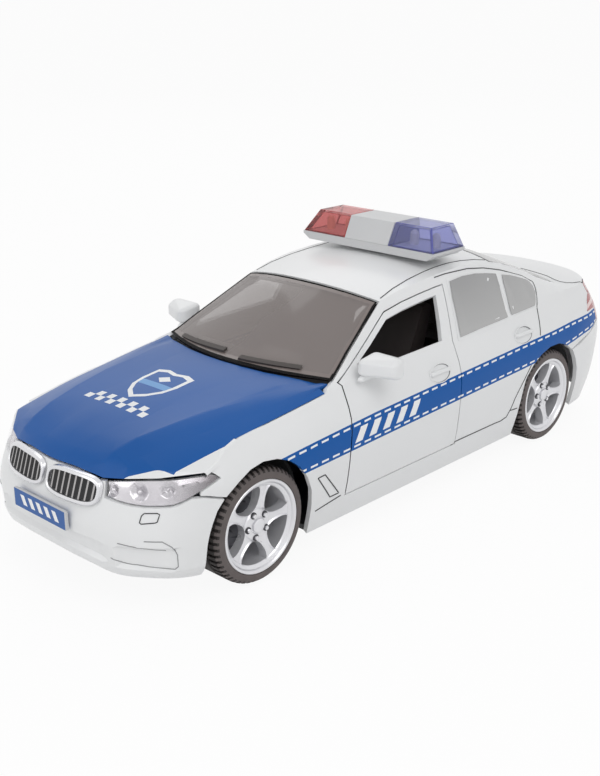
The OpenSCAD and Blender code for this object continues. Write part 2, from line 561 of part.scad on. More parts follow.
module tail_lamp() {
    g = [for (k = [0 : lamp_steps])
        [for (j = [0 : lamp_rows]) tail_lamp_point(k / lamp_steps, j / lamp_rows)]];
    mirror([0, 1, 0]) grid_shell(flip_grid(g), flip_grid(sink_grid(g, tail_lens_t)), all_cells());
}
module tail_light_left() color("darkred") tail_lamp();
module tail_light_right() color("darkred") mirror([0, 1, 0]) tail_lamp();

// Screens: places along the rail and rows toward the middle; the outermost cells are the black seal.
screen_shares = [0.347, 0.328, 0.27, 0.22, 0.165, 0.117, 0.104];
rear_screen_shares = [-0.4, -0.412, -0.48, -0.55, -0.62, -0.69, -0.722];
screen_row_shares = [0.013, 0.06, 0.2, 0.4, 0.6, 0.8, 1];
glass_t = 1.2;
seal_t = 1.5;
function screen_grid(shares) =
    mirror_rows([for (x = shares) [for (v = screen_row_shares) over(half_len * x, v)]]);
function rim_cell(i, j) =
    i == 0 || i == len(screen_shares) - 2 || j == 0 || j == 2 * len(screen_row_shares) - 3;
module windshield() color([0.4, 0.4, 0.4, 0.6]) {
    g = screen_grid(screen_shares);
    grid_shell(g, sink_grid(g, glass_t), function (i, j) !rim_cell(i, j));
}
module windshield_seal() color("black") {
    g = screen_grid(screen_shares);
    grid_shell(g, sink_grid(g, seal_t), function (i, j) rim_cell(i, j));
}
module rear_window() color("gray") {
    g = screen_grid(rear_screen_shares);
    grid_shell(g, sink_grid(g, glass_t), all_cells());
}
// Side glass, set a little into its openings.
glass_sink = 0.4;
glass_gap = 0.3;
function step_to(p, q, d) = p + unit(q - p) * d;
function shrink(g, d) =
    let (n = len(g) - 1, m = len(g[0]) - 1)
    let (h = [for (i = [0 : n]) [for (j = [0 : m])
        j == 0 ? step_to(g[i][0], g[i][1], d) : j == m ? step_to(g[i][m], g[i][m - 1], d) : g[i][j]]])
    [for (i = [0 : n]) [for (j = [0 : m])
        i == 0 ? step_to(h[0][j], h[1][j], d) : i == n ? step_to(h[n][j], h[n - 1][j], d) : h[i][j]]];
module pane(first, last) {
    opening = [for (i = [first : last]) [for (j = [ledge_j : frame_j]) half_grid[i][j]]];
    g = sink_grid(shrink(opening, glass_gap), glass_sink);
    grid_shell(g, sink_grid(g, glass_t), all_cells());
}
module side_glass() {
    pane(rear_glass_i, rear_header_i);
    pane(quarter_glass_i, quarter_glass_end_i);
}
module side_glass_left() color("darkgray") side_glass();
module side_glass_right() color("darkgray") mirror([0, 1, 0]) side_glass();
// Wipers: two strips over the foot of the screen.
wiper_spans = [[0.3, 0.86], [1.06, 1.72]];
wiper_steps = 10;
wiper_share = 0.337;
wiper_rise_share = 0.008;
wiper_w_share = 0.011;
wiper_t = 0.9;
wiper_gap = 0.15;
function wiper_at(v, x) =
    let (p = over(half_len * x, v < 1 ? v : 2 - v))
    v < 1 ? p : flip(p);
module wipers() color("black") for (s = wiper_spans) {
    g = [for (k = [0 : wiper_steps]) [for (j = [1, 0])
        let (t = k / wiper_steps)
        wiper_at(mix(s[0], s[1], t), wiper_share - wiper_rise_share * (1 - t) - wiper_w_share * (1 - j))]];
    grid_shell(sink_grid(g, -wiper_gap - wiper_t), sink_grid(g, -wiper_gap), all_cells());
}

// Grille: two rounded rings on the nose, each with a corrugated insert.
ring_y = 13;
ring_z_share = 0.459;
ring_half_w = 12.2;
ring_half_h = 4.9;
ring_square = 3.4;
ring_t = 1.3;
ring_proud = 1.7;
ring_back = 0.15;
ring_steps = 36;
ring_edge = 0.25;
insert_end_share = 0.97;
bar_count = 8;
slat_proud = 1.1;
slat_low = 0.5;
function power(v, e) = sign(v) * pow(abs(v), e);
function on_nose(y, z, d) = [front_x(y, z) + d, y, z];
function ring_point(a, t, d) =
    let (e = 2 / ring_square)
    on_nose(ring_y + (ring_half_w - t) * power(cos(a), e),
        roof_h * ring_z_share + (ring_half_h - t) * power(sin(a), e), d);
module loop_shell(rings) {
    n = len(rings[0]);
    m = len(rings);
    pts = [for (r = rings) each r];
    faces = [for (i = [0 : m - 1], k = [0 : n - 1])
        let (next = (i + 1) % m, turn = (k + 1) % n)
        let (a = i * n + k, b = next * n + k, c = next * n + turn, d = i * n + turn)
        each [[a, b, c], [a, c, d]]];
    polyhedron(points = pts, faces = faces, convexity = 6);
}
module grille_ring() loop_shell([for (q = [[0, ring_back], [ring_edge, ring_proud], [ring_t, ring_proud],
        [ring_t, ring_back]])
    [for (k = [0 : ring_steps - 1]) ring_point(k * 360 / ring_steps, q[0], q[1])]]);
module grille_rings() color("silver") for (m = [0, 1]) mirror([0, m, 0]) grille_ring();
module grille_insert() {
    e = ring_square;
    a = ring_half_w - ring_t - ring_back;
    b = ring_half_h - ring_t - ring_back;
    n = bar_count * 4;
    g = [for (k = [0 : n]) [for (s = [-1, 1])
        let (u = mix(-insert_end_share, insert_end_share, k / n), h = b * pow(1 - pow(abs(u), e), 1 / e))
        on_nose(ring_y + a * u, roof_h * ring_z_share + s * h, k % 4 < 2 ? slat_low : slat_proud)]];
    h = [for (r = g) [for (p = r) on_nose(p.y, p.z, ring_back)]];
    mirror([0, 1, 0]) grid_shell(flip_grid(g), flip_grid(h), all_cells());
}
module grille_inserts() color("black") for (m = [0, 1]) mirror([0, m, 0]) grille_insert();

// Number plates.
plate_w = 29;
plate_h = 6.6;
plate_t = 1.2;
plate_z_share = 0.333;
rear_plate_z_share = 0.6;
module front_plate() color("royalblue")
    translate([half_len - plate_t, -plate_w / 2, roof_h * plate_z_share - plate_h / 2])
        cube([plate_t, plate_w, plate_h]);
rear_plate_x = rear_x(0, roof_h * rear_plate_z_share - plate_h / 2) - panel_gap / 2;
module rear_plate() color("royalblue")
    translate([rear_plate_x - plate_t, -plate_w / 2, roof_h * rear_plate_z_share - plate_h / 2])
        cube([plate_t, plate_w, plate_h]);

// Door mirrors.
mirror_pos_shares = [0.262, 1.03, 0.712];
mirror_size = [9, 14, 10];
mirror_round = 2.4;
mirror_lean = 3;
mirror_nose_share = 0.6;
mirror_foot_shares = [0.24, 0.285];
mirror_foot_r = 1.2;
mirror_foot_drop = 1.6;
mirror_foot_gap = 0.08;
mirror_fn = 20;
// Place of a ball that rests on the door's outer face.
function rest_on_door(x, z, r) =
    let (lean = (side_y(x, z - r) - side_y(x, z + r)) / (2 * r))
    [x, side_y(x, z) + r * norm([1, lean]), z];
module door_mirror() {
    c = [half_len * mirror_pos_shares[0], half_w * mirror_pos_shares[1], roof_h * mirror_pos_shares[2]];
    h = mirror_size / 2 - [mirror_round, mirror_round, mirror_round];
    translate(c) hull() {
        for (y = [-1, 1], z = [-1, 1]) {
            translate([-h.x, y * h.y, z * h.z]) sphere(mirror_round, $fn = mirror_fn);
            translate([h.x - mirror_lean * (y + 1) / 2, y * h.y, z * h.z * mirror_nose_share])
                sphere(mirror_round, $fn = mirror_fn);
        }
    }
    hull() {
        for (u = mirror_foot_shares)
            let (x = half_len * u)
            translate(rest_on_door(x, belt_z(x) - mirror_foot_drop, mirror_foot_r + mirror_foot_gap))
                sphere(mirror_foot_r, $fn = mirror_fn);
        for (x = [-h.x, 0]) translate(c + [x, -h.y, -h.z]) sphere(mirror_foot_r, $fn = mirror_fn);
    }
}
module door_mirror_left() color("white") door_mirror();
module door_mirror_right() color("white") mirror([0, 1, 0]) door_mirror();

// Turns a shape drawn along Z so that it lies along Y, toward the car's left.
module along_y(x, y, z) translate([x, y, z]) rotate([-90, 0, 0]) children();
// Draws a side-view outline [x, z] as a slab between two places across the car.
module slab(y0, y1) translate([0, y1, 0]) rotate([90, 0, 0]) linear_extrude(y1 - y0) children();

// Chassis: a flat base with wheel wells, axle bearings and a battery tray.
overrun = 0.5;
run_gap = 0.06;
base_t = 2;
base_inset = 2.6;
base_end_share = 0.83;
base_z = sill_h + base_t;
base_half_w = half_w * sill_y_share - base_inset;
apron_len = 5;
apron_half_w_share = 0.6;
apron_w = 2 * half_w * apron_half_w_share;
well_gap = 0.4;
well_t = 1;
well_r = arch_r + well_gap;
well_tyre_gap = 4;
well_in_y = track_outer / 2 - tyre_w - well_tyre_gap;
well_out_y_shares = [0.81, 0.885];
bearing_w = 8;
bearing_t = 4;
bearing_y = well_in_y - well_t - bearing_t - well_tyre_gap / 2;
bearing_top = 4;
axle_r = axle_d / 2;
axle_xs = [front_axle_x, rear_axle_x];
screw_shares = [[0.31, 0.62], [-0.29, 0.66]];
screw_r = 1.2;
screw_head_r = 2.4;
screw_head_h = 1.4;
screw_len = 12;
screw_gap = 0.08;
tray_len = 44;
tray_w = 18;
tray_x_share = -0.12;
tray_t = 1.2;
tray_h = 9;
cover_gap = 0.2;
cover_lip = 1.6;
cover_t = 1;
cover_ear = 5.5;
speaker_r = 14;
speaker_h = 5;
speaker_x_share = 0.2;
speaker_hole_r = 1;
speaker_hole_pitch = 4;
board_size = [24, 30, 1.6];
board_x_share = 0.4;
board_lift = 4;
board_post_r = 1.6;
tray_x = half_len * tray_x_share;
speaker_x = half_len * speaker_x_share;
board_x = half_len * board_x_share;
module base_outline() {
    x0 = rear_axle_x + well_r + well_t;
    x1 = front_axle_x - well_r - well_t;
    translate([x0, -base_half_w]) square([x1 - x0, 2 * base_half_w]);
    translate([-half_len * base_end_share, -well_in_y])
        square([2 * half_len * base_end_share, 2 * well_in_y]);
    for (x = [front_axle_x + well_r + well_t, rear_axle_x - well_r - well_t - apron_len])
        translate([x, -half_w * apron_half_w_share]) square([apron_len, apron_w]);
}
module wheel_well(x, y1) {
    along_y(x, well_in_y - well_t, wheel_z) difference() {
        cylinder(r = well_r + well_t, h = y1 - well_in_y + well_t, $fn = 96);
        translate([0, 0, well_t]) cylinder(r = well_r, h = y1 - well_in_y + overrun, $fn = 96);
        translate([0, 0, -overrun]) cylinder(r = axle_r + well_gap, h = well_t + 2 * overrun);
        translate([-2 * well_r, 0, -overrun]) cube([4 * well_r, 2 * well_r, tyre_w * 3]);
    }
    translate([x - well_r, well_in_y - well_t, sill_h]) difference() {
        cube([2 * well_r, well_t, wheel_z - sill_h]);
        translate([well_r, 0, wheel_z - sill_h]) rotate([-90, 0, 0])
            translate([0, 0, -overrun]) cylinder(r = axle_r + well_gap, h = well_t + 2 * overrun);
    }
}
module bearing(x, y) translate([x, y, 0]) difference() {
    translate([-bearing_w / 2, -bearing_t / 2, base_z])
        cube([bearing_w, bearing_t, wheel_z + bearing_top - base_z]);
    along_y(0, -bearing_t / 2 - overrun, wheel_z) cylinder(r = axle_r + run_gap, h = bearing_t + 2 * overrun);
}
module screw_spots() for (p = screw_shares, m = [-1, 1])
    translate([half_len * p[0], m * half_w * p[1], 0]) children();
module speaker_holes() for (i = [-2 : 2], j = [-2 : 2])
    if (i * i + j * j < 6)
        translate([speaker_x + i * speaker_hole_pitch, j * speaker_hole_pitch, sill_h - overrun])
            cylinder(r = speaker_hole_r, h = base_t + 2 * overrun, $fn = 16);
module tray_box(grow, z, h) translate([tray_x - tray_len / 2 - grow, -tray_w / 2 - grow, z])
    cube([tray_len + 2 * grow, tray_w + 2 * grow, h]);
module chassis_base() color("dimgray") {
    difference() {
        translate([0, 0, sill_h]) linear_extrude(base_t) base_outline();
        screw_spots() translate([0, 0, sill_h - overrun]) {
            cylinder(r = screw_r + screw_gap, h = base_t + 2 * overrun);
            cylinder(r = screw_head_r + screw_gap, h = screw_head_h + overrun);
        }
        tray_box(0, sill_h - overrun, base_t + 2 * overrun);
        tray_box(cover_lip, sill_h - overrun, cover_t + overrun);
        speaker_holes();
        translate([tray_x + tray_len / 2 + cover_ear / 2, 0, sill_h - overrun]) {
            cylinder(r = screw_r + screw_gap, h = base_t + 2 * overrun);
            cylinder(r = cover_ear, h = cover_t + overrun);
        }
    }
    difference() {
        tray_box(tray_t, base_z, tray_h);
        tray_box(0, base_z - overrun, tray_h - tray_t + overrun);
    }
    for (m = [0, 1]) mirror([0, m, 0]) {
        wheel_well(front_axle_x, half_w * well_out_y_shares[0]);
        wheel_well(rear_axle_x, half_w * well_out_y_shares[1]);
    }
    for (x = axle_xs, m = [-1, 1]) bearing(x, m * bearing_y);
    for (i = [-1, 1], j = [-1, 1])
        translate([board_x, 0, base_z])
            translate([i * (board_size.x / 2 - board_post_r), j * (board_size.y / 2 - board_post_r), 0])
            cylinder(r = board_post_r, h = board_lift);
    translate([tray_x + tray_len / 2 + cover_ear / 2, 0, base_z]) difference() {
        cylinder(r = cover_ear, h = tray_h);
        translate([0, 0, -overrun]) cylinder(r = screw_r + screw_gap, h = tray_h + 2 * overrun);
        translate([-2 * cover_ear - cover_ear / 2 + tray_t, -cover_ear, -overrun])
            cube([2 * cover_ear, 2 * cover_ear, tray_h + 2 * overrun]);
    }
}
module screw(len) {
    cylinder(r = screw_head_r, h = screw_head_h);
    cylinder(r = screw_r, h = len);
}
module chassis_screws() color("silver") screw_spots() translate([0, 0, sill_h]) screw(screw_len);
battery_screw_len = 8;
module battery_cover() color("dimgray") difference() {
    union() {
        tray_box(cover_lip - cover_gap, sill_h, cover_t - cover_gap);
        translate([tray_x + tray_len / 2 + cover_ear / 2, 0, sill_h])
            cylinder(r = cover_ear - cover_gap, h = cover_t - cover_gap);
    }
    translate([tray_x + tray_len / 2 + cover_ear / 2, 0, sill_h - overrun])
        cylinder(r = screw_r + screw_gap, h = base_t);
}
module battery_screw() color("silver")
    translate([tray_x + tray_len / 2 + cover_ear / 2, 0, sill_h - screw_head_h])
        screw(battery_screw_len);
cell_r = 5.8;
cell_h = 5.4;
cell_count = 3;
module battery_cells() color("lightgray") for (k = [0 : cell_count - 1])
    translate([tray_x, 0, base_z - base_t / 2 + cover_gap / 2])
        translate([(k - (cell_count - 1) / 2) * tray_len / cell_count, 0, 0])
        cylinder(r = cell_r, h = cell_h);
module circuit_board() color("green") {
    translate([board_x - board_size.x / 2, -board_size.y / 2, base_z + board_lift]) cube(board_size);
    translate([board_x, 0, base_z + board_lift + board_size.z]) chip();
}
chip_size = [8, 10, 2];
module chip() translate([-chip_size.x / 2, -chip_size.y / 2, 0]) cube(chip_size);
speaker_magnet_r = 7;
speaker_magnet_h = 3;
speaker_cone_gap = 1.2;
module speaker() color("gray") translate([speaker_x, 0, base_z]) {
    difference() {
        cylinder(r = speaker_r, h = speaker_h);
        translate([0, 0, -overrun]) cylinder(r = speaker_r - speaker_cone_gap, h = speaker_h / 2 + overrun);
    }
    translate([0, 0, speaker_h]) cylinder(r = speaker_magnet_r, h = speaker_magnet_h);
}

// Axles and wheels, drawn along Y from the inner face of the tyre.
wheel_y = track_outer / 2 - tyre_w;
axle_end = 13;
tyre_r = tyre_d / 2;
rim_r = rim_d / 2;
rim_seat = 1.35;
rim_wall = 1.4;
lip_w = 1.4;
seat_gap = 0.05;
tyre_round = 1.3;
tyre_face_round = 2.1;
hub_r = 5.4;
hub_in = 6;
spoke_t = 4;
spoke_set = 0.15;
hub_step = 0.3;
spoke_w_shares = [0.2, 0.155, 0.25];
spoke_waist_share = 0.7;
lug_r = 0.8;
lug_ring_share = 0.21;
lug_depth = 0.8;
cap_r = 2.4;
cap_h = 0.6;
disc_in = 3.4;
disc_t = 1.6;
disc_r_share = 0.72;
module axle(x) along_y(x, -wheel_y - axle_end, wheel_z) cylinder(r = axle_r, h = 2 * (wheel_y + axle_end));
module front_axle() color("silver") axle(front_axle_x);
module rear_axle() color("silver") axle(rear_axle_x);
module wheel_pair(x) for (m = [0, 1]) mirror([0, m, 0]) along_y(x, wheel_y, wheel_z) children();
module tyre() {
    s = rim_r - rim_seat + seat_gap;
    rotate_extrude($fn = 96) polygon([[s, tyre_round], [s + tyre_round, 0], [tyre_r - 2 * tyre_round, 0],
        [tyre_r - tyre_round / 3, tyre_round], [tyre_r, 2 * tyre_round], [tyre_r, tyre_w - 2 * tyre_round],
        [tyre_r - tyre_round / 3, tyre_w - tyre_round], [tyre_r - tyre_face_round, tyre_w],
        [rim_r + seat_gap, tyre_w], [rim_r + seat_gap, tyre_w - lip_w - seat_gap],
        [s, tyre_w - lip_w - rim_seat]]);
}
module spoke() {
    a = rim_r * spoke_w_shares[0];
    b = rim_r * spoke_w_shares[1];
    c = rim_r * spoke_w_shares[2];
    e = rim_r - rim_seat - rim_wall / 2;
    f = e * spoke_waist_share;
    polygon([[0, -a], [hub_r, -a], [f, -b], [e, -c], [e, c], [f, b], [hub_r, a], [0, a]]);
}
// The spokes end inside the straight part of the rim's wall, below its flared lip.
module spider() difference() {
    union() {
        circle(r = hub_r);
        for (k = [0 : spoke_count - 1]) rotate(k * 360 / spoke_count) spoke();
    }
    circle(r = axle_r);
}
module rim() {
    s = rim_r - rim_seat;
    out = tyre_w - lip_w - spoke_set;
    rotate_extrude($fn = 96) polygon([[s - rim_wall, tyre_round], [s, tyre_round],
        [s, tyre_w - lip_w - rim_seat - seat_gap], [rim_r, tyre_w - lip_w],
        [rim_r, tyre_w - seat_gap], [rim_r - rim_wall, tyre_w - seat_gap],
        [s - rim_wall, tyre_w - lip_w]]);
    difference() {
        translate([0, 0, out - spoke_t]) linear_extrude(spoke_t) spider();
        for (k = [0 : spoke_count - 1]) rotate((k + 0.5) * 360 / spoke_count)
            translate([rim_r * lug_ring_share, 0, out - lug_depth])
                cylinder(r = lug_r, h = lug_depth + overrun);
    }
    rotate_extrude($fn = 48) polygon([[axle_r, hub_in], [hub_r - hub_step, hub_in],
        [hub_r - hub_step, out - spoke_t / 2], [axle_r, out - spoke_t / 2]]);
    translate([0, 0, out - overrun]) cylinder(r = cap_r, h = cap_h + overrun);
}
module brake_disc() difference() {
    translate([0, 0, disc_in]) cylinder(r = rim_r * disc_r_share, h = disc_t);
    cylinder(r = axle_r, h = axle_end);
}
module tyres_front() color("dimgray") wheel_pair(front_axle_x) tyre();
module tyres_rear() color("dimgray") wheel_pair(rear_axle_x) tyre();
module rims_front() color("silver") wheel_pair(front_axle_x) rim();
module rims_rear() color("silver") wheel_pair(rear_axle_x) rim();
module brake_discs_front() color("gray") wheel_pair(front_axle_x) brake_disc();
module brake_discs_rear() color("gray") wheel_pair(rear_axle_x) brake_disc();

// Friction drive: the axle gear turns an idler, and the idler turns a flywheel.
pressure_a = 25;
addendum_share = 0.8;
dedendum_share = 1.05;
backlash = 0.06;
flank_steps = 4;
shaft_r = 0.9;
gear_t = 4;
pinion_t = 5;
axle_gear_y = -8;
idler_gear_y = 2;
pinion_over = 0.5;
flywheel_y = 7.2;
idler_a = 10;
case_in_y = [-10, 12];
case_t = 1.5;
case_gap = 1.1;
function pitch_r(z) = gear_m * z / 2;
function involute(a) = tan(a) * 180 / PI - a;
// Half the angle of a tooth at radius r.
function tooth_a(z, r) =
    let (b = pitch_r(z) * cos(pressure_a))
    90 / z - backlash / pitch_r(z) * 90 / PI + involute(pressure_a) - involute(acos(min(1, b / r)));
function tooth(z) =
    let (p = pitch_r(z), lo = p - gear_m * dedendum_share, b = max(lo, p * cos(pressure_a)))
    let (hi = p + gear_m * addendum_share)
    let (rs = concat(lo < b ? [lo] : [], [for (k = [0 : flank_steps]) mix(b, hi, k / flank_steps)]))
    [for (r = rs) [r, tooth_a(z, max(r, b))]];
function polar(r, a) = [r * cos(a), r * sin(a)];
function gear_points(z) =
    let (f = tooth(z), n = len(f))
    [for (k = [0 : z - 1])
        let (a = k * 360 / z)
        each concat([for (q = f) polar(q[0], a - q[1])],
            [for (i = [n - 1 : -1 : 0]) polar(f[i][0], a + f[i][1])])];
module gear(z, x, h, y, t, turn) translate([x, y + t, h]) rotate([90, 0, 0]) rotate(turn)
    linear_extrude(t) polygon(gear_points(z));
idler_x = rear_axle_x + (pitch_r(axle_teeth) + pitch_r(pinion_teeth)) * cos(idler_a);
idler_z = wheel_z + (pitch_r(axle_teeth) + pitch_r(pinion_teeth)) * sin(idler_a);
flywheel_x = idler_x + pitch_r(idler_teeth) + pitch_r(pinion_teeth);
shaft_y = [case_in_y[0] - case_t + case_gap / 2, case_in_y[1] + case_t - case_gap / 2];
module shaft(x) along_y(x, shaft_y[0], idler_z) cylinder(r = shaft_r, h = shaft_y[1] - shaft_y[0]);
module axle_gear() color("ivory") difference() {
    gear(axle_teeth, rear_axle_x, wheel_z, axle_gear_y, gear_t, idler_a);
    along_y(rear_axle_x, axle_gear_y - overrun, wheel_z) cylinder(r = axle_r, h = gear_t + 2 * overrun);
}
module idler_gear() color("ivory") {
    gear(pinion_teeth, idler_x, idler_z, axle_gear_y - pinion_over, pinion_t,
        idler_a + 180 + 180 / pinion_teeth);
    gear(idler_teeth, idler_x, idler_z, idler_gear_y, gear_t, 0);
    shaft(idler_x);
}
module flywheel() color("slategray") {
    gear(pinion_teeth, flywheel_x, idler_z, idler_gear_y - pinion_over, pinion_t, 180 + 180 / pinion_teeth);
    along_y(flywheel_x, flywheel_y, idler_z) cylinder(r = flywheel_r, h = flywheel_t, $fn = 72);
    shaft(flywheel_x);
}
case_x0 = rear_axle_x - pitch_r(axle_teeth) - gear_m - case_gap;
case_x1 = flywheel_x + flywheel_r + case_gap;
case_top = idler_z + max(pitch_r(idler_teeth) + gear_m, flywheel_r) + case_gap;
module case_half(y0, y1, in0, in1) difference() {
    translate([case_x0 - case_t, y0, base_z])
        cube([case_x1 - case_x0 + 2 * case_t, y1 - y0, case_top + case_t - base_z]);
    translate([case_x0, in0, base_z - overrun])
        cube([case_x1 - case_x0, in1 - in0, case_top - base_z + overrun]);
    along_y(rear_axle_x, y0 - overrun, wheel_z) cylinder(r = axle_r + run_gap, h = y1 - y0 + 2 * overrun);
    for (x = [idler_x, flywheel_x])
        along_y(x, y0 - overrun, idler_z) cylinder(r = shaft_r + run_gap, h = y1 - y0 + 2 * overrun);
}
module gearbox_left() color("gray") case_half(0, case_in_y[1] + case_t, -overrun, case_in_y[1]);
module gearbox_right() color("gray") case_half(case_in_y[0] - case_t, 0, case_in_y[0], overrun);

// Interior: floor with screw posts, seats, dashboard and steering wheel.
tub_z_share = 0.39;
tub_rear_z_share = 0.412;
tub_t = 1.5;
tub_front_share = 0.35;
tub_step_share = -0.36;
tub_rear_share = -0.6;
tub_half_w_share = 0.82;
tub_post_r = 3.2;
tub_z = roof_h * tub_z_share;
tub_step_x = max(half_len * tub_step_share, case_x1 + case_t + panel_gap);
tub_rear_z = max(roof_h * tub_rear_z_share, case_top + case_t + run_gap);
module interior_tub() color("black") {
    w = half_w * tub_half_w_share;
    r = well_in_y - well_t - panel_gap;
    difference() {
        union() {
            translate([tub_step_x, -w, tub_z])
                cube([half_len * tub_front_share - tub_step_x, 2 * w, tub_t]);
            screw_spots() translate([0, 0, base_z]) cylinder(r = tub_post_r, h = tub_z + tub_t / 2 - base_z);
        }
        screw_spots() translate([0, 0, base_z - overrun])
            cylinder(r = screw_r + screw_gap, h = screw_len);
    }
    translate([half_len * tub_rear_share, -r, tub_rear_z])
        cube([tub_step_x - half_len * tub_rear_share, 2 * r, tub_t]);
    translate([tub_step_x, -r, tub_z]) cube([tub_t, 2 * r, tub_rear_z + tub_t - tub_z]);
}
// Seat outlines in side view: places along the car from the seat's foot, then heights above its floor.
seat_shares = [[-8, 0], [17, 0], [19, 4], [18, 10], [12, 12], [-2, 10.5], [-11, 33], [-13, 35.5],
    [-16, 36], [-18, 34.5], [-12, 12]];
headrest_shares = [[-15.6, 34], [-12.6, 34], [-13.2, 41.5], [-14.5, 42.8], [-17, 42.6], [-17.6, 41]];
seat_unit_share = 0.0069;
seat_x_share = -0.02;
seat_y_share = 0.36;
seat_w_share = 0.5;
headrest_w_share = 0.28;
seat_round = 1;
bench_x_share = -0.46;
bench_w_share = 0.86;
bench_shares = [[-8, 0], [16, 0], [17.5, 3], [17, 8], [12, 10], [0, 9], [-8, 26], [-10, 27.5],
    [-13, 27], [-14, 25], [-12, 10]];
module outline(table, x, z) translate([x, z]) offset(seat_round) offset(-seat_round)
    polygon(table * half_len * seat_unit_share);
module front_seat(y) {
    x = half_len * seat_x_share;
    z = tub_z + tub_t;
    w = half_w * seat_w_share / 2;
    h = half_w * headrest_w_share / 2;
    slab(y - w, y + w) outline(seat_shares, x, z);
    slab(y - h, y + h) outline(headrest_shares, x, z);
}
module front_seat_left() color("black") front_seat(half_w * seat_y_share);
module front_seat_right() color("black") front_seat(-half_w * seat_y_share);
module rear_bench() color("black") {
    w = min(half_w * bench_w_share / 2, well_in_y - well_t - panel_gap);
    slab(-w, w) outline(bench_shares, half_len * bench_x_share, tub_rear_z + tub_t);
}
dash_shares = [[0.245, 0.41], [0.36, 0.41], [0.36, 0.6], [0.31, 0.645], [0.27, 0.65], [0.25, 0.625],
    [0.24, 0.56], [0.265, 0.5]];
dash_half_w_share = 0.74;
module dashboard() color("black") slab(-half_w * dash_half_w_share, half_w * dash_half_w_share)
    polygon([for (q = dash_shares) [half_len * q[0], max(roof_h * q[1], tub_z + tub_t)]]);
wheel_ring_r = 9;
wheel_rod_r = 1;
wheel_tilt = 28;
wheel_spokes = 3;
wheel_hub_r = 3;
wheel_hub_h = 2;
column_r = 1.6;
column_end_share = 0.241;
steering_shares = [0.195, 0.36, 0.63];
column_len = half_len * (column_end_share - steering_shares[0]) / cos(wheel_tilt);
module steering_wheel() color("black")
    translate([half_len * steering_shares[0], half_w * steering_shares[1], roof_h * steering_shares[2]])
        rotate([0, 90 + wheel_tilt, 0]) {
            rotate_extrude() translate([wheel_ring_r, 0]) circle(wheel_rod_r, $fn = 16);
            translate([0, 0, -wheel_hub_h / 2]) cylinder(r = wheel_hub_r, h = wheel_hub_h);
            for (k = [0 : wheel_spokes - 1]) rotate(k * 360 / wheel_spokes)
                translate([0, -wheel_rod_r, -wheel_rod_r / 2])
                cube([wheel_ring_r, 2 * wheel_rod_r, wheel_rod_r]);
            cylinder(r = column_r, h = column_len);
        }

// Door hinges: a pin on a bracket in the wing, and swan-neck arms on the door.
hinge_ahead = 3.2;
hinge_in = 4.2;
hinge_barrel_r = 1.6;
hinge_fit = 0.06;
arm_shares = [0.27, 0.45];
arm_h = 4.4;
arm_t = 1.4;
arm_dip = 3.6;
arm_back = 7.4;
pad_back = 13;
pad_gap = 0.25;
lug_h = 3;
lug_space = 0.3;
post_ahead = 2;
post_size = [3.4, 5];
post_in = 0.9;
hinge_x = half_len * cabin_shares[2][0] - panel_gap / 2 + hinge_ahead;
hinge_y = half_w * waist_y_share - hinge_in;
hinge_pin_r = hinge_pin_d / 2;
hinge_pin_over = 1;
arm_z = [for (a = arm_shares) roof_h * a];
module arm_side(z) {
    y = min([for (h = [z, z + arm_h], x = [hinge_x - arm_back, hinge_x - pad_back])
        sink([x, side_y(x, h), h], wall).y]) - pad_gap;
    difference() {
        translate([hinge_x, hinge_y, z]) {
            cylinder(r = hinge_barrel_r, h = arm_h);
            translate([-hinge_barrel_r, -arm_dip - arm_t, 0]) cube([hinge_barrel_r, arm_dip + arm_t, arm_h]);
            translate([-pad_back, -arm_dip - arm_t, 0]) cube([pad_back, arm_t, arm_h]);
            translate([-pad_back, -arm_dip - arm_t, 0])
                cube([pad_back - arm_back, y - hinge_y + arm_dip + arm_t, arm_h]);
        }
        translate([hinge_x, hinge_y, z - overrun])
            cylinder(r = hinge_pin_r + hinge_fit, h = arm_h + 2 * overrun);
    }
}
module hinge_arms() for (z = arm_z) arm_side(z);
module hinge_arms_left() color("white") hinge_arms();
module hinge_arms_right() color("white") mirror([0, 1, 0]) hinge_arms();
pin_z = [arm_z[0] - hinge_pin_over, arm_z[1] + arm_h + hinge_pin_over];
module hinge_pins() color("silver") for (m = [-1, 1])
    translate([hinge_x, m * hinge_y, pin_z[0]]) cylinder(r = hinge_pin_r, h = pin_z[1] - pin_z[0]);
module hinge_bracket() difference() {
    union() {
        translate([hinge_x + post_ahead, hinge_y - post_in - post_size.y, base_z])
            cube([post_size.x, post_size.y, arm_z[1] - base_z]);
        for (z = [arm_z[0] + arm_h + lug_space, arm_z[1] - lug_space - lug_h])
            translate([hinge_x, hinge_y, z]) {
            cylinder(r = hinge_barrel_r, h = lug_h);
            translate([0, -hinge_barrel_r, 0]) cube([post_ahead + panel_gap, hinge_barrel_r, lug_h]);
        }
    }
    translate([hinge_x, hinge_y, base_z]) cylinder(r = hinge_pin_r, h = roof_h);
}
module hinge_brackets() color("dimgray") for (m = [0, 1]) mirror([0, m, 0]) hinge_bracket();

// Light bar on a stem that reaches a push switch under the roof.
bar_x_share = -0.19;
bar_foot_share = 0.9;
bar_chamfer_share = 0.68;
lens_in = 0.3;
lens_wall = 1.2;
lens_front_share = 0.24;
lens_rear_share = 0.05;
lens_side = 4.8;
block_front_share = 0.2;
stem_r = 2.5;
stem_len = 8;
stem_fit = 0.06;
switch_size = [13, 13];
switch_floor = 2.5;
switch_gap = 0.3;
roof_clear = 0.9;
lamp_r = 1.8;
lamp_h = 4;
lamp_place_shares = [0.5, 0.8];
bar_x = half_len * bar_x_share;
bar_z = roof_h + bar_lift;
lens_z = bar_z + bar_base_h;
bar_top = lens_z + bar_lens_h;
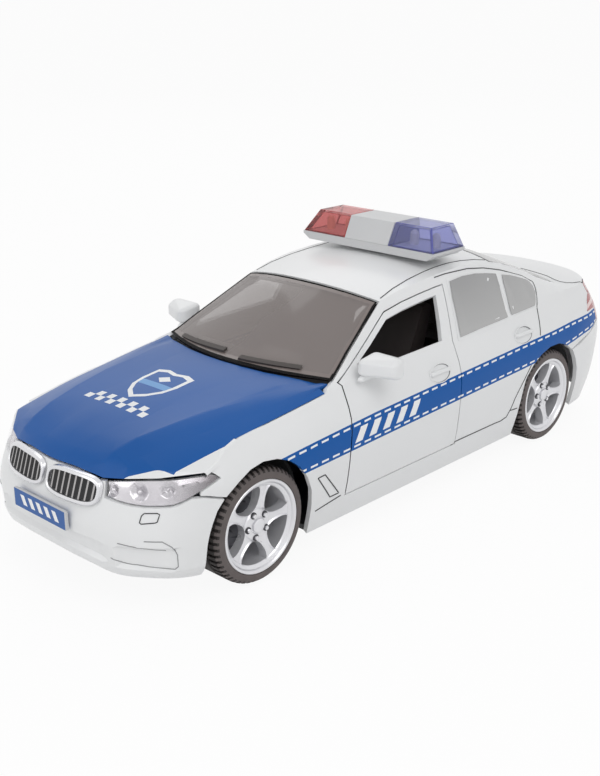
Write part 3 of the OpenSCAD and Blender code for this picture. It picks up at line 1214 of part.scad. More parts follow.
// Block with a rectangle [x0, x1, y0, y1] at its foot and another at its top.
module taper(a, b, z0, z1) polyhedron(
    points = [[a[0], a[2], z0], [a[1], a[2], z0], [a[1], a[3], z0], [a[0], a[3], z0],
        [b[0], b[2], z1], [b[1], b[2], z1], [b[1], b[3], z1], [b[0], b[3], z1]],
    faces = [[0, 1, 2, 3], [7, 6, 5, 4], [0, 4, 5, 1], [1, 5, 6, 2], [2, 6, 7, 3], [3, 7, 4, 0]]);
module light_bar_base() color("lightgray") {
    h = bar_w / 2;
    translate([bar_x - bar_len / 2, 0, bar_z]) rotate([90, 0, 90]) linear_extrude(bar_len)
        polygon([[-h * bar_foot_share, 0], [h * bar_foot_share, 0], [h, bar_base_h * bar_chamfer_share],
            [h, bar_base_h], [-h, bar_base_h], [-h, bar_base_h * bar_chamfer_share]]);
    translate([bar_x, 0, bar_z - stem_len]) cylinder(r = stem_r, h = stem_len);
}
bar_back = bar_x - bar_len / 2;
bar_front = bar_x + bar_len / 2;
function lens_foot(c) = [bar_back + c, bar_front - c, bar_mid_w / 2 + c, bar_w / 2 - lens_in - c];
function lens_head(c) = [bar_back + bar_len * lens_rear_share + c, bar_front - bar_len * lens_front_share - c,
    bar_mid_w / 2 + c, bar_w / 2 - lens_in - lens_side - c];
module bar_lens() difference() {
    taper(lens_foot(0), lens_head(0), lens_z, bar_top);
    translate([0, 0, -lens_wall]) taper(lens_foot(lens_wall), lens_head(lens_wall), lens_z, bar_top);
}
module lens_blue() color("blue") bar_lens();
module lens_red() color("red") mirror([0, 1, 0]) bar_lens();
module light_bar_block() color("lightgray") {
    w = bar_mid_w / 2 - run_gap;
    taper([bar_back, bar_front, -w, w],
        [bar_back + bar_len * lens_rear_share, bar_front - bar_len * block_front_share, -w, w],
        lens_z, bar_top);
}
module light_bar_lamps() color("ivory") for (s = [-1, 1], f = lamp_place_shares)
    translate([bar_x, s * f * bar_w / 2, lens_z]) {
        cylinder(r = lamp_r, h = lamp_h);
        translate([0, 0, lamp_h]) sphere(lamp_r, $fn = 32);
    }
switch_top = roof_h - wall - roof_clear;
switch_low = bar_z - stem_len - bar_travel - switch_gap;
module push_switch() color("dimgray") difference() {
    translate([bar_x - switch_size.x / 2, -switch_size.y / 2, switch_low - switch_floor])
        cube([switch_size.x, switch_size.y, switch_top - switch_low + switch_floor]);
    translate([bar_x, 0, switch_low]) cylinder(r = stem_r + stem_fit, h = roof_h);
}

body_shell();
hood();
front_bumper();
rear_bumper();
grille_rings();
grille_inserts();
front_plate();
rear_plate();
headlight_lens_left();
headlight_lens_right();
headlight_reflectors();
tail_light_left();
tail_light_right();
windshield();
windshield_seal();
rear_window();
side_glass_left();
side_glass_right();
wipers();
front_door_left();
front_door_right();
door_mirror_left();
door_mirror_right();
hinge_arms_left();
hinge_arms_right();
hinge_pins();
hinge_brackets();
interior_tub();
dashboard();
steering_wheel();
front_seat_left();
front_seat_right();
rear_bench();
chassis_base();
chassis_screws();
battery_cover();
battery_screw();
battery_cells();
circuit_board();
speaker();
light_bar_base();
light_bar_block();
lens_red();
lens_blue();
light_bar_lamps();
push_switch();
front_axle();
rear_axle();
tyres_front();
tyres_rear();
rims_front();
rims_rear();
brake_discs_front();
brake_discs_rear();
gearbox_left();
gearbox_right();
axle_gear();
idler_gear();
flywheel();
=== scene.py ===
import json
import math
from functools import partial
import bmesh
import bpy
from mathutils import Matrix, Vector
from mathutils.bvhtree import BVHTree


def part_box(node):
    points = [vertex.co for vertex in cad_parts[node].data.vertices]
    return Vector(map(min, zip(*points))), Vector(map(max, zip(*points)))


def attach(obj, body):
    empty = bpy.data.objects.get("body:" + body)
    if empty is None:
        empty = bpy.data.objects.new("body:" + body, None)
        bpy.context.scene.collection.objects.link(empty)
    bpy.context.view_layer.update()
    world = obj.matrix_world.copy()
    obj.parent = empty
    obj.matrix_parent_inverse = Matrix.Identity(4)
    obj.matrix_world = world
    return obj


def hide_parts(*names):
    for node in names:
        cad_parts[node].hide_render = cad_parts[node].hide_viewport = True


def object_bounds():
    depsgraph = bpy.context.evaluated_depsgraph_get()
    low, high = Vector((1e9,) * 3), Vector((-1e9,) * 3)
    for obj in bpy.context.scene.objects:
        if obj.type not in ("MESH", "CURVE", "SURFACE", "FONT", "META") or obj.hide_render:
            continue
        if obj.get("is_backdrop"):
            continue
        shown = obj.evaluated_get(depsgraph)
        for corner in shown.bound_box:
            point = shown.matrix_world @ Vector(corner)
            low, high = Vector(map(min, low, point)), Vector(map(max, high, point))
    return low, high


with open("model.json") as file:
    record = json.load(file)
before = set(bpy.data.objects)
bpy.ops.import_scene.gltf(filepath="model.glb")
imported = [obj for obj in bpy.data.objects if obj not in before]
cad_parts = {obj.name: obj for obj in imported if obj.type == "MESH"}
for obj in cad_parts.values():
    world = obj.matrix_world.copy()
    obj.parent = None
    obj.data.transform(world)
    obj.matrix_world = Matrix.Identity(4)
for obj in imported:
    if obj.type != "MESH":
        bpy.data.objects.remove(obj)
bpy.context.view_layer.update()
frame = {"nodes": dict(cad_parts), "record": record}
cad = frame["nodes"]
mm, ops = 0.001, bmesh.ops
print("frame loaded:", len(cad), "nodes")


def tone(code):  # hex colour to the linear values that a socket takes
    parts = [int(code[k:k + 2], 16) / 255 for k in (1, 3, 5)]
    return tuple(v / 12.92 if v <= 0.04045 else ((v + 0.055) / 1.055) ** 2.4 for v in parts) + (1.0,)


# Finishes
grain = {"detail": 3.0, "relief": 0.0002}
mixAt = {"below": 6, "above": 7, "result": 2}  # sockets of a colour mix


def treeOf(owner):
    return owner.node_tree.nodes, owner.node_tree.links


def fill(node, values):  # sets inputs of a node
    for label, value in values.items():
        node.inputs[label].default_value = value


def makeGrain():  # slow colour drift and roughness change of moulded plastic
    group = bpy.data.node_groups.new("mouldedGrain", "ShaderNodeTree")
    sockets = {"INPUT": {"Light": "Color", "Dark": "Color", "Scale": "Float", "Rough": "Float",
                         "Spread": "Float"},
               "OUTPUT": {"Colour": "Color", "Roughness": "Float", "Height": "Float"}}
    for way, kinds in sockets.items():
        for label, kind in kinds.items():
            group.interface.new_socket(label, in_out=way, socket_type="NodeSocket" + kind)
    nodes, links = group.nodes, group.links
    inlet, outlet = nodes.new("NodeGroupInput"), nodes.new("NodeGroupOutput")
    coord, noise = nodes.new("ShaderNodeTexCoord"), nodes.new("ShaderNodeTexNoise")
    noise.inputs["Detail"].default_value = grain["detail"]
    links.new(coord.outputs["Object"], noise.inputs["Vector"])
    links.new(inlet.outputs["Scale"], noise.inputs["Scale"])
    mix = nodes.new("ShaderNodeMix")
    mix.data_type = "RGBA"
    links.new(noise.outputs[0], mix.inputs[0])
    links.new(inlet.outputs["Light"], mix.inputs[mixAt["below"]])
    links.new(inlet.outputs["Dark"], mix.inputs[mixAt["above"]])
    rough = nodes.new("ShaderNodeMath")
    rough.operation = "MULTIPLY_ADD"
    links.new(noise.outputs[0], rough.inputs[0])
    links.new(inlet.outputs["Spread"], rough.inputs[1])
    links.new(inlet.outputs["Rough"], rough.inputs[2])
    links.new(mix.outputs[mixAt["result"]], outlet.inputs["Colour"])
    links.new(rough.outputs[0], outlet.inputs["Roughness"])
    links.new(noise.outputs[0], outlet.inputs["Height"])
    return group


mouldedGrain = makeGrain()


def finish(name, light, dark, rough, spread=0.08, scale=30.0, bump=0.0, **sockets):
    mat = bpy.data.materials.new(name)
    mat.use_nodes = True
    nodes, links = treeOf(mat)
    shader = nodes["Principled BSDF"]
    drift = nodes.new("ShaderNodeGroup")
    drift.node_tree = mouldedGrain
    fill(drift, {"Light": tone(light), "Dark": tone(dark), "Scale": scale, "Rough": rough, "Spread": spread})
    links.new(drift.outputs["Colour"], shader.inputs["Base Color"])
    links.new(drift.outputs["Roughness"], shader.inputs["Roughness"])
    fill(shader, {label.replace("_", " "): value for label, value in sockets.items()})
    if bump:
        relief = nodes.new("ShaderNodeBump")
        fill(relief, {"Strength": bump, "Distance": grain["relief"]})
        links.new(drift.outputs["Height"], relief.inputs["Height"])
        links.new(relief.outputs["Normal"], shader.inputs["Normal"])
    return mat


def calc(mat, operation, *values):  # one maths node, fed by numbers or sockets
    node = mat.node_tree.nodes.new("ShaderNodeMath")
    node.operation = operation
    for place, value in enumerate(values):
        if isinstance(value, (int, float)):
            node.inputs[place].default_value = value
        else:
            mat.node_tree.links.new(value, node.inputs[place])
    return node.outputs[0]


def within(mat, value, low, high):  # 1 where low < value < high
    return calc(mat, "MULTIPLY", calc(mat, "GREATER_THAN", value, low), calc(mat, "LESS_THAN", value, high))


def overlay(mat, mask, code):  # paints a colour over the material where the mask is 1
    nodes, links = treeOf(mat)
    shader = nodes["Principled BSDF"]
    below = shader.inputs["Base Color"].links[0].from_socket
    mix = nodes.new("ShaderNodeMix")
    mix.data_type = "RGBA"
    mix.inputs[mixAt["above"]].default_value = tone(code)
    links.new(mask, mix.inputs[0])
    links.new(below, mix.inputs[mixAt["below"]])
    links.new(mix.outputs[mixAt["result"]], shader.inputs["Base Color"])


def axes(mat):  # X, Y and Z of the piece, in metres
    nodes, links = treeOf(mat)
    coord, split = nodes.new("ShaderNodeTexCoord"), nodes.new("ShaderNodeSeparateXYZ")
    links.new(coord.outputs["Object"], split.inputs[0])
    return split.outputs


def edgeHeight(mat, along, points):  # height of a printed edge at each place along the car
    points = sorted(points)
    lowX, highX = points[0][0], points[-1][0]
    lowZ, highZ = min(p[1] for p in points), max(p[1] for p in points)
    nodes, links = treeOf(mat)
    curve = nodes.new("ShaderNodeFloatCurve")
    line = curve.mapping.curves[0]
    while len(line.points) < len(points):
        line.points.new(0.5, 0.5)
    for spot, (x, z) in zip(line.points, points):
        spot.location = ((x - lowX) / (highX - lowX), (z - lowZ) / (highZ - lowZ))
        spot.handle_type = "VECTOR"
    curve.mapping.update()
    spread = calc(mat, "MULTIPLY_ADD", along, 1 / ((highX - lowX) * mm), -lowX / (highX - lowX))
    links.new(spread, curve.inputs["Value"])
    return calc(mat, "MULTIPLY_ADD", curve.outputs[0], (highZ - lowZ) * mm, lowZ * mm)


paint = {"white": "#EDEEEF", "shade": "#E7E8E9", "blue": "#145BA8", "deepBlue": "#115198", "mark": "#F4F5F6"}
stripe = {
    "top": [(-132, 51.6), (-100, 51.1), (-60, 49.5), (-8, 47.5), (36.8, 45.8), (75.8, 43.4), (90, 42.4)],
    "bottom": [(-132, 46.5), (-107, 43.2), (-85, 40.2), (-60, 38.8), (-8, 36.9), (36.9, 35.3),
        (63.5, 34.3), (90, 33.3)],
    "dash": 3.5, "pitch": 5.6, "dashInset": 0.9, "dashWide": 0.75, "side": 42.0, "front": 92.0,
    "gloss": 0.5, "glossDrop": -0.4,
}
stripeBars = {"span": (12.0, 50.0), "pitch": 7.6, "phase": -12.0 / 7.6, "share": 0.52, "tall": 2.7,
              "slant": 0.55}
plateBars = {"span": (-11.0, 11.0), "pitch": 4.4, "phase": 0.25, "share": 0.5, "tall": 1.7, "slant": 0.5}


def slantedBars(mat, along, high, bars):  # 1 on a row of slanted bars
    do = partial(calc, mat)
    lean = do("MULTIPLY_ADD", high, bars["slant"], along)
    rhythm = do("FRACT", do("MULTIPLY_ADD", lean, 1 / (bars["pitch"] * mm), bars["phase"]))
    first, last = bars["span"]
    row = do("MULTIPLY", within(mat, lean, first * mm, last * mm), do("LESS_THAN", rhythm, bars["share"]))
    return do("MULTIPLY", row, do("LESS_THAN", do("ABSOLUTE", high), bars["tall"] * mm))


def printStripe(mat):  # blue band with white stitch dashes and slanted bars, read off X and Z
    do = partial(calc, mat)
    x, y, z = axes(mat)[0:3]
    top = edgeHeight(mat, x, stripe["top"])
    bottom = edgeHeight(mat, x, stripe["bottom"])
    near = do("MINIMUM", do("SUBTRACT", top, z), do("SUBTRACT", z, bottom))
    side = do("MULTIPLY", do("GREATER_THAN", do("ABSOLUTE", y), stripe["side"] * mm),
              do("LESS_THAN", x, stripe["front"] * mm))  # behind the front wheel's middle only
    band = do("MULTIPLY", do("GREATER_THAN", near, 0.0), side)
    overlay(mat, band, paint["blue"])
    gloss = do("MULTIPLY_ADD", band, stripe["glossDrop"], stripe["gloss"])
    mat.node_tree.links.new(gloss, mat.node_tree.nodes["Principled BSDF"].inputs["Specular IOR Level"])
    rows = within(mat, near, stripe["dashInset"] * mm, (stripe["dashInset"] + stripe["dashWide"]) * mm)
    beat = do("FRACT", do("MULTIPLY", x, 1 / (stripe["pitch"] * mm)))
    stitches = do("MULTIPLY", rows, do("LESS_THAN", beat, stripe["dash"] / stripe["pitch"]))
    overlay(mat, do("MULTIPLY", stitches, side), paint["mark"])
    middle = do("SUBTRACT", z, do("MULTIPLY", do("ADD", top, bottom), 0.5))
    overlay(mat, do("MULTIPLY", slantedBars(mat, x, middle, stripeBars), side), paint["mark"])


bodyWhite = finish("bodyWhite", paint["white"], paint["shade"], 0.28, 0.06, 18.0, Coat_Weight=0.08)
bodyStriped = finish("bodyStriped", paint["white"], paint["shade"], 0.28, 0.06, 18.0, Coat_Weight=0.08)
printStripe(bodyStriped)
hoodBlue = finish("hoodBlue", paint["blue"], paint["deepBlue"], 0.3, 0.06, 14.0, Specular_IOR_Level=0.22)
printWhite = finish("printWhite", paint["mark"], "#E6E8EA", 0.4)
printPale = finish("printPale", "#6EA3D8", "#5E95CE", 0.4)
seamGrey = finish("seamGrey", "#3A3B3D", "#2C2D2F", 0.6)
# soft grey for the engraved outlines, and painted shade inside the door handles' dishes
seamAndDishShade = finish("seamAndDishShade", "#9A9B9D", "#88898B", 0.6)
plated = finish("plated", "#E6E6E8", "#D2D2D6", 0.16, 0.1, 90.0, Metallic=0.9)
wheelSilver = finish("wheelSilver", "#EBEBED", "#DCDCE0", 0.24, 0.1, 60.0, Metallic=0.55)
# painted shade: dark tone of the disc that stands for the recess round each wheel nut
nutWellShade = finish("nutWellShade", "#4A4A4E", "#38383C", 0.45, 0.1, 200.0, Metallic=0.4)
discSteel = finish("discSteel", "#77777C", "#5E5E63", 0.38, 0.12, 300.0, Metallic=0.6)
blackGloss = finish("blackGloss", "#17171A", "#101012", 0.28, 0.08, 80.0)
blackMatt = finish("blackMatt", "#0B0B0C", "#070708", 0.6, Specular_IOR_Level=0.1)
blackPlain = finish("blackPlain", "#222224", "#18181A", 0.5, 0.1, 120.0, bump=0.1)
cabinBlack = finish("cabinBlack", "#403938", "#2E2928", 0.27, 0.12, 90.0, bump=0.12)
darkPlastic = finish("darkPlastic", "#3A3A3C", "#2E2E30", 0.5, 0.1, 120.0, bump=0.15)
tyreRubber = finish("tyreRubber", "#6A6260", "#585150", 0.62, 0.12, 260.0, bump=0.2)
treadRubber = finish("treadRubber", "#3A3534", "#2B2726", 0.7, 0.12, 260.0, bump=0.2)
windowGrey = finish("windowGrey", "#9E9E9F", "#929293", 0.22, 0.05, 20.0, Coat_Weight=0.3)
clearLens = finish("clearLens", "#F3F4F6", "#E4E6EA", 0.04, 0.03, 40.0, Alpha=0.12, Coat_Weight=0.3)
lampSilver = finish("lampSilver", "#E6E3E7", "#C4C0C5", 0.16, 0.12, 120.0, Metallic=0.75)
smokeScreen = finish("smokeScreen", "#978D8A", "#877E7B", 0.08, 0.04, 10.0, Alpha=0.64, Coat_Weight=0.4)
tailRed = finish("tailRed", "#B3282E", "#8F1B22", 0.12, 0.06, 60.0, Coat_Weight=0.5)
barRed = finish("barRed", "#E7B1B0", "#E0A3A2", 0.1, 0.05, 45.0, Transmission_Weight=0.85, IOR=1.12)
barBlue = finish("barBlue", "#CBCDEA", "#BDC0E3", 0.1, 0.05, 45.0, Transmission_Weight=0.85, IOR=1.12)
# darker copies of the lens colours, painted shade on the lenses' rounded edges
redEdgeShade = finish("redEdgeShade", "#A93A3C", "#94292C", 0.2)
blueEdgeShade = finish("blueEdgeShade", "#5357A6", "#434793", 0.2)
slatSilver = finish("slatSilver", "#B9B6B6", "#A3A0A0", 0.25, 0.1, 90.0, Metallic=0.6)
wiperBrown = finish("wiperBrown", "#453F3D", "#38322F", 0.5)
sealTaupe = finish("sealTaupe", "#837976", "#776D6A", 0.2, 0.05, 20.0)
barGrey = finish("barGrey", "#D0D1D2", "#C6C7C9", 0.34, 0.08, 30.0)
steelPin = finish("steelPin", "#B9BABD", "#9B9CA0", 0.3, 0.1, 150.0, Metallic=0.9)
ivoryPlastic = finish("ivoryPlastic", "#E9E3CF", "#DDD5BD", 0.42)
boardGreen = finish("boardGreen", "#2E6B3C", "#25572F", 0.45)
speakerGrey = finish("speakerGrey", "#6A6B6E", "#525356", 0.5)
cellWrap = finish("cellWrap", "#B9BCC0", "#A7AAAF", 0.35, Metallic=0.4)
flywheelMetal = finish("flywheelMetal", "#7D8086", "#676A70", 0.35, Metallic=0.85)
print("finishes made:", len(bpy.data.materials))

windowShading = {"axis": 2, "from": 82.0, "to": 62.0, "tone": "#B2B2B2"}  # painted shading, paler towards the lower edge
lampTipShade = {"axis": 0, "from": 127.0, "to": 113.0, "tone": "#6B6468"}  # painted shade, darker towards the outer tip


# paints shading as a colour ramp along one axis of the piece
def shadeAlong(mat, fade):
    ramp = mat.node_tree.nodes.new("ShaderNodeMapRange")
    fill(ramp, {"From Min": fade["from"] * mm, "From Max": fade["to"] * mm})
    mat.node_tree.links.new(axes(mat)[fade["axis"]], ramp.inputs["Value"])
    overlay(mat, ramp.outputs[0], fade["tone"])


tailStrip = {"height": 55.0, "half": 0.7, "slope": -0.145, "from": -123.0, "tone": "#E7C9C6"}


def stripTail(mat):  # pale reversing strip across the tail lamp
    do = partial(calc, mat)
    x, _, z = axes(mat)[0:3]
    along = do("SUBTRACT", x, tailStrip["from"] * mm)
    line = do("MULTIPLY_ADD", along, tailStrip["slope"], tailStrip["height"] * mm)
    off = do("ABSOLUTE", do("SUBTRACT", z, line))
    overlay(mat, do("LESS_THAN", off, tailStrip["half"] * mm), tailStrip["tone"])


shadeAlong(windowGrey, windowShading)
stripTail(tailRed)
shadeAlong(lampSilver, lampTipShade)


def addPlateBars(mat, zMid):  # slanted bars on a plate
    y, z = axes(mat)[1:3]
    overlay(mat, slantedBars(mat, y, calc(mat, "SUBTRACT", z, zMid), plateBars), paint["mark"])


# Helpers for pieces
tiny = {"weld": 0.002, "sliver": 0.001, "cut": 0.0005, "slit": 0.0001}  # gaps that count as none, in mm
crisp = {"panel": 30.0, "part": 32.0, "cabin": 35.0, "tyre": 38.0, "round": 40.0, "thin": 45.0,
         "grip": 50.0}  # an edge sharper than this many degrees stays sharp
sides = ((1, "left"), (-1, "right"))
rays = {"above": 200.0, "aside": 100.0, "flank": 45.0}  # how far out rays and searches start, in mm


def faceOut(bm):
    ops.recalc_face_normals(bm, faces=bm.faces)


def midOf(face):
    return face.calc_center_median()


def flip(spot, sign):  # the spot on the left or right side, in metres
    return Vector((spot[0], sign * spot[1], spot[2])) * mm


def spin(bm, spots, axis, steps, weld, closed=True):  # outline turned once round an axis
    verts = [bm.verts.new(spot) for spot in spots]
    pairs = list(zip(verts, verts[1:])) + ([(verts[-1], verts[0])] if closed else [])
    edges = [bm.edges.new(pair) for pair in pairs]
    ops.spin(bm, geom=verts + edges, cent=(0, 0, 0), axis=axis, angle=2 * math.pi, steps=steps,
             use_merge=True)
    ops.remove_doubles(bm, verts=bm.verts, dist=weld)


def only(kind, geom):
    return [g for g in geom if isinstance(g, kind)]


def show(name, data):  # new object in the scene
    made = bpy.data.objects.new(name, data)
    bpy.context.scene.collection.objects.link(made)
    return made


def place(name, bm, body, slot, mats, replaced=(), sharp="part", bevel=0.0, weighted=True, edgeMat=-1):
    mesh = bpy.data.meshes.new(name)
    limit = math.radians(crisp[sharp])
    for edge in bm.edges:
        edge.smooth = len(edge.link_faces) == 2 and edge.calc_face_angle(0.0) < limit
    for face in bm.faces:
        face.smooth = True
    bm.to_mesh(mesh)
    bm.free()
    for mat in mats if isinstance(mats, (list, tuple)) else [mats]:
        mesh.materials.append(mat)
    piece = show(name, mesh)
    if bevel:
        rounding = piece.modifiers.new("rounding", "BEVEL")
        rounding.width = bevel * mm
        rounding.segments = 2
        rounding.limit_method = "ANGLE"
        rounding.angle_limit = limit
        rounding.material = edgeMat
    if weighted:
        piece.modifiers.new("evenShade", "WEIGHTED_NORMAL").keep_sharp = True
    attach(piece, body)
    if replaced:
        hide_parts(*replaced)
    return piece


def sheet(name, bm, body, slot, mat, thick, replaced=(), weighted=False):  # thin piece laid on another
    piece = place(name, bm, body, slot, mat, replaced, weighted=weighted)
    wall = piece.modifiers.new("wall", "SOLIDIFY")
    wall.thickness = thick * mm
    wall.offset = 0.0


def lift(node):  # welded copy of a CAD node's mesh
    bm = bmesh.new()
    bm.from_mesh(cad[node].data)
    for layer in list(bm.loops.layers.float_vector):
        bm.loops.layers.float_vector.remove(layer)
    ops.remove_doubles(bm, verts=bm.verts, dist=tiny["weld"] * mm)
    ops.dissolve_degenerate(bm, edges=bm.edges, dist=tiny["sliver"] * mm)
    return bm


def bodyOf(node):
    bodies = frame["record"]["behaviour"]["bodies"]
    return next(body for body, members in bodies.items() if node in members)


def panel(node, mats, slot, sharp="part", bevel=0.0, shape=None, edgeMat=-1):
    bm = lift(node)
    if shape:
        shape(bm)
    name = "".join(w.title() if k else w for k, w in enumerate(node.split("_")))
    place(name, bm, bodyOf(node), slot, mats, (node,), sharp, bevel, edgeMat=edgeMat)


def surface(*nodes):  # one tree of the named CAD nodes, for laying things on them
    verts, faces = [], []
    for node in nodes:
        mesh = cad[node].data
        base = len(verts)
        verts += [v.co.copy() for v in mesh.vertices]
        faces += [[base + k for k in p.vertices] for p in mesh.polygons]
    return BVHTree.FromPolygons(verts, faces)


def dress(nodes, mat):
    for node in nodes:
        cad[node].data.materials.clear()
        cad[node].data.materials.append(mat)


# Body panels
hood = {
    "close": 0.62, "crease": [(137.0, 20.4), (105.5, 27.6), (50.0, 34.8)], "inner": 13.0, "outer": 8.0,
    "flat": 0.7, "ridge": 1.2, "fade": (139.0, 54.0), "fadeLong": 12.0,
    "edge": [(130.3, 33.9), (122.7, 42.1), (98.0, 44.4)], "edgeFrom": 90.0, "upward": 0.3, "upright": 0.5,
    "rimSide": 36.0,
}


def creaseSide(x):  # distance of the hood's crease from the middle line, in metres
    spots = hood["crease"]
    for (ax, ay), (bx, by) in zip(spots, spots[1:]):
        if x >= bx * mm:
            return (ay + (by - ay) * (x / mm - ax) / (bx - ax)) * mm
    return spots[-1][1] * mm


def swell(x, y):  # height of the pressed ridge over the plain hood
    off = abs(y) - creaseSide(x)
    share = 1 - (off / (hood["outer"] * mm) if off > 0 else -off / (hood["inner"] * mm))
    front, rear = hood["fade"]
    ends = min(1.0, (front - x / mm) / hood["fadeLong"], (x / mm - rear) / hood["fadeLong"])
    return hood["ridge"] * mm * max(0.0, share) * max(0.0, ends)


def cutAlong(bm, faces, a, b):  # cuts faces along the upright plane through two spots
    geom = faces + list({e for f in faces for e in f.edges}) + list({v for f in faces for v in f.verts})
    across = (b - a).cross(Vector((0, 0, 1))).normalized()
    ops.bisect_plane(bm, geom=geom, dist=tiny["cut"] * mm, plane_co=a, plane_no=across)
    return across


def stretches(line):  # stretches of a line in X and Y, on the left and then the right
    for sign in (1, -1):
        for a, b in zip(line, line[1:]):
            yield sign, flip((*a, 0), sign), flip((*b, 0), sign)


def closeHood(bm):  # the rim moves out to the wings, as only the colour parts them
    rim = [f for f in bm.faces if abs(f.normal.z) < hood["upright"]
           and abs(midOf(f).y) > hood["rimSide"] * mm]
    for vert in {v for f in rim for v in f.verts}:
        out = sum((f.normal for f in vert.link_faces if f in rim), Vector())
        out.z = 0
        vert.co += out.normalized() * hood["close"] * mm


def pressRidges(bm):
    offsets = (-hood["inner"], -hood["flat"], hood["flat"], hood["outer"])
    for sign, a, b in stretches(hood["crease"]):
        for off in offsets:
            aside = Vector((0, sign * off * mm, 0))
            near = [f for f in bm.faces if f.normal.z > hood["upward"] and sign * midOf(f).y > 0
                    and b.x < midOf(f).x < a.x]
            cutAlong(bm, near, a + aside, b + aside)
    for vert in {v for f in bm.faces if f.normal.z > hood["upward"] for v in f.verts}:
        vert.co.z += swell(vert.co.x, vert.co.y)


def paintHood(bm):  # closes the sides, presses the ridges, and cuts the print's edge
    closeHood(bm)
    pressRidges(bm)
    planes = []
    for sign, a, b in stretches(hood["edge"]):
        near = [f for f in bm.faces if max(v.co.x for v in f.verts) > hood["edgeFrom"] * mm]
        planes.append((a, cutAlong(bm, near, a, b) * sign))
    for face in bm.faces:
        spot = midOf(face)
        face.material_index = int(any((spot - a).dot(out) >= 0 for a, out in planes))


seal = {"upward": 0.3, "ahead": 0.1, "lineRise": 0.16, "lineWide": 1.5, "lineThick": 0.1}


def sealFlat(face):
    return face.normal.z > seal["upward"] and face.normal.x > seal["ahead"]


def paintSeal(bm):  # the flat of the seal is painted as the screen's border
    for face in bm.faces:
        face.material_index = int(sealFlat(face))


mirrorShape = {"long": 1.32, "flat": 0.8}


def mirrorSpot(co, high):  # longer and flatter than the plain mould
    return Vector((high.x + (co.x - high.x) * mirrorShape["long"], co.y,
                   high.z + (co.z - high.z) * mirrorShape["flat"]))


def shapeMirror(node):
    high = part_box(node)[1]

    def reshape(bm):
        for vert in bm.verts:
            vert.co = mirrorSpot(vert.co, high)
    return reshape


for node in ("body_shell", "front_door_left", "front_door_right"):
    panel(node, bodyStriped, "white_body", "panel")
panel("hood", [hoodBlue, bodyWhite], "blue_print", "panel", shape=paintHood)
for node in ("front_bumper", "rear_bumper"):
    panel(node, bodyWhite, "white_body", "panel")
for node in ("door_mirror_left", "door_mirror_right"):
    panel(node, bodyWhite, "white_body", "round", shape=shapeMirror(node))
panel("windshield", smokeScreen, "smoke_screen")
panel("windshield_seal", [blackGloss, sealTaupe], "black_plastic", shape=paintSeal)
panel("rear_window", windowGrey, "grey_window")
panel("wipers", wiperBrown, "black_plastic", "thin")
for node in ("headlight_lens_left", "headlight_lens_right"):
    panel(node, clearLens, "clear_lens")
panel("headlight_reflectors", lampSilver, "plated", "round")
for node in ("tail_light_left", "tail_light_right"):
    panel(node, tailRed, "red_lens")
print("body panels dressed")

# Grille and plates
grille = {"ringY": 13.0, "half": 10.75, "ends": 0.97, "bars": 8, "columns": 4, "slat": 2, "ahead": 0.3,
          "bevel": 0.3}


def paintSlats(bm):  # the proud columns of the insert are the bright slats
    for face in bm.faces:
        u = (abs(midOf(face).y) / mm - grille["ringY"]) / grille["half"]
        column = (u + grille["ends"]) / (2 * grille["ends"]) * grille["bars"] * grille["columns"]
        slat = math.floor(column) % grille["columns"] == grille["slat"]
        face.material_index = int(slat and face.normal.x > grille["ahead"])


panel("grille_rings", plated, "plated", "round", bevel=grille["bevel"])
panel("grille_inserts", [blackPlain, slatSilver], "black_plastic", "panel", shape=paintSlats)
plate = {"facing": 0.6, "bevel": 0.3, "rough": 0.35}


def palePlateSides(bm):
    for face in bm.faces:
        face.material_index = int(abs(face.normal.x) <= plate["facing"])


for node in ("front_plate", "rear_plate"):
    low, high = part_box(node)
    plateBlue = finish("plateBlue_" + node, paint["blue"], paint["deepBlue"], plate["rough"])
    addPlateBars(plateBlue, (low.z + high.z) / 2)
    panel(node, [plateBlue, barGrey], "blue_print", "round", plate["bevel"], palePlateSides, edgeMat=1)
print("grille and plates done")

# Cabin
cabin = {"interior_tub": 0.0, "dashboard": 0.5, "steering_wheel": 0.5, "rear_bench": 0.5,
         "front_seat_left": 0.8, "front_seat_right": 0.8}  # rounding of each node's edges
for node, bevel in cabin.items():
    panel(node, cabinBlack, "black_plastic", "cabin", bevel=bevel)
print("cabin done")

# Light bar
lightBar = {"base": 0.5, "block": 0.3, "lens": 0.32}  # rounding of the edges
panel("light_bar_base", barGrey, "bar_grey", "panel", bevel=lightBar["base"])
panel("light_bar_block", barGrey, "bar_grey", "panel", bevel=lightBar["block"])
# the rounded edges of the lenses take the darker copies as painted shade
panel("lens_red", [barRed, redEdgeShade], "bar_red", "panel", bevel=lightBar["lens"], edgeMat=1)
panel("lens_blue", [barBlue, blueEdgeShade], "bar_blue", "panel", bevel=lightBar["lens"], edgeMat=1)
dress(["light_bar_lamps"], ivoryPlastic)
print("light bar done")

# Wheels, with profiles as pairs of radius and width
wheel = {"front": 92.8, "rear": -82.2, "height": 20.45, "inner": 33.5,
         "turn": {"front": -30.0, "rear": -40.0}}
tyre = {
    "steps": 108, "notch": 0.75, "treadRadius": 19.4, "tread": (2.2, 15.0), "shoulderRadius": 19.85,
    "shoulders": ((1.4, 5.0), (12.0, 15.9)), "markRadius": 19.0, "markFrom": 16.0,
    "profile": [(15.3, 1.5), (16.4, 0.2), (18.6, 0.0), (19.7, 0.8), (20.25, 1.8), (20.45, 3.0),
        (20.45, 5.2), (19.85, 5.5), (19.85, 6.3), (20.45, 6.6), (20.45, 10.4), (19.85, 10.7),
        (19.85, 11.5), (20.45, 11.8), (20.45, 14.0), (20.25, 15.2), (19.6, 16.2), (19.0, 16.62),
        (18.4, 16.88), (17.4, 17.0), (16.75, 16.9), (16.7, 15.7), (15.3, 14.2)],
}
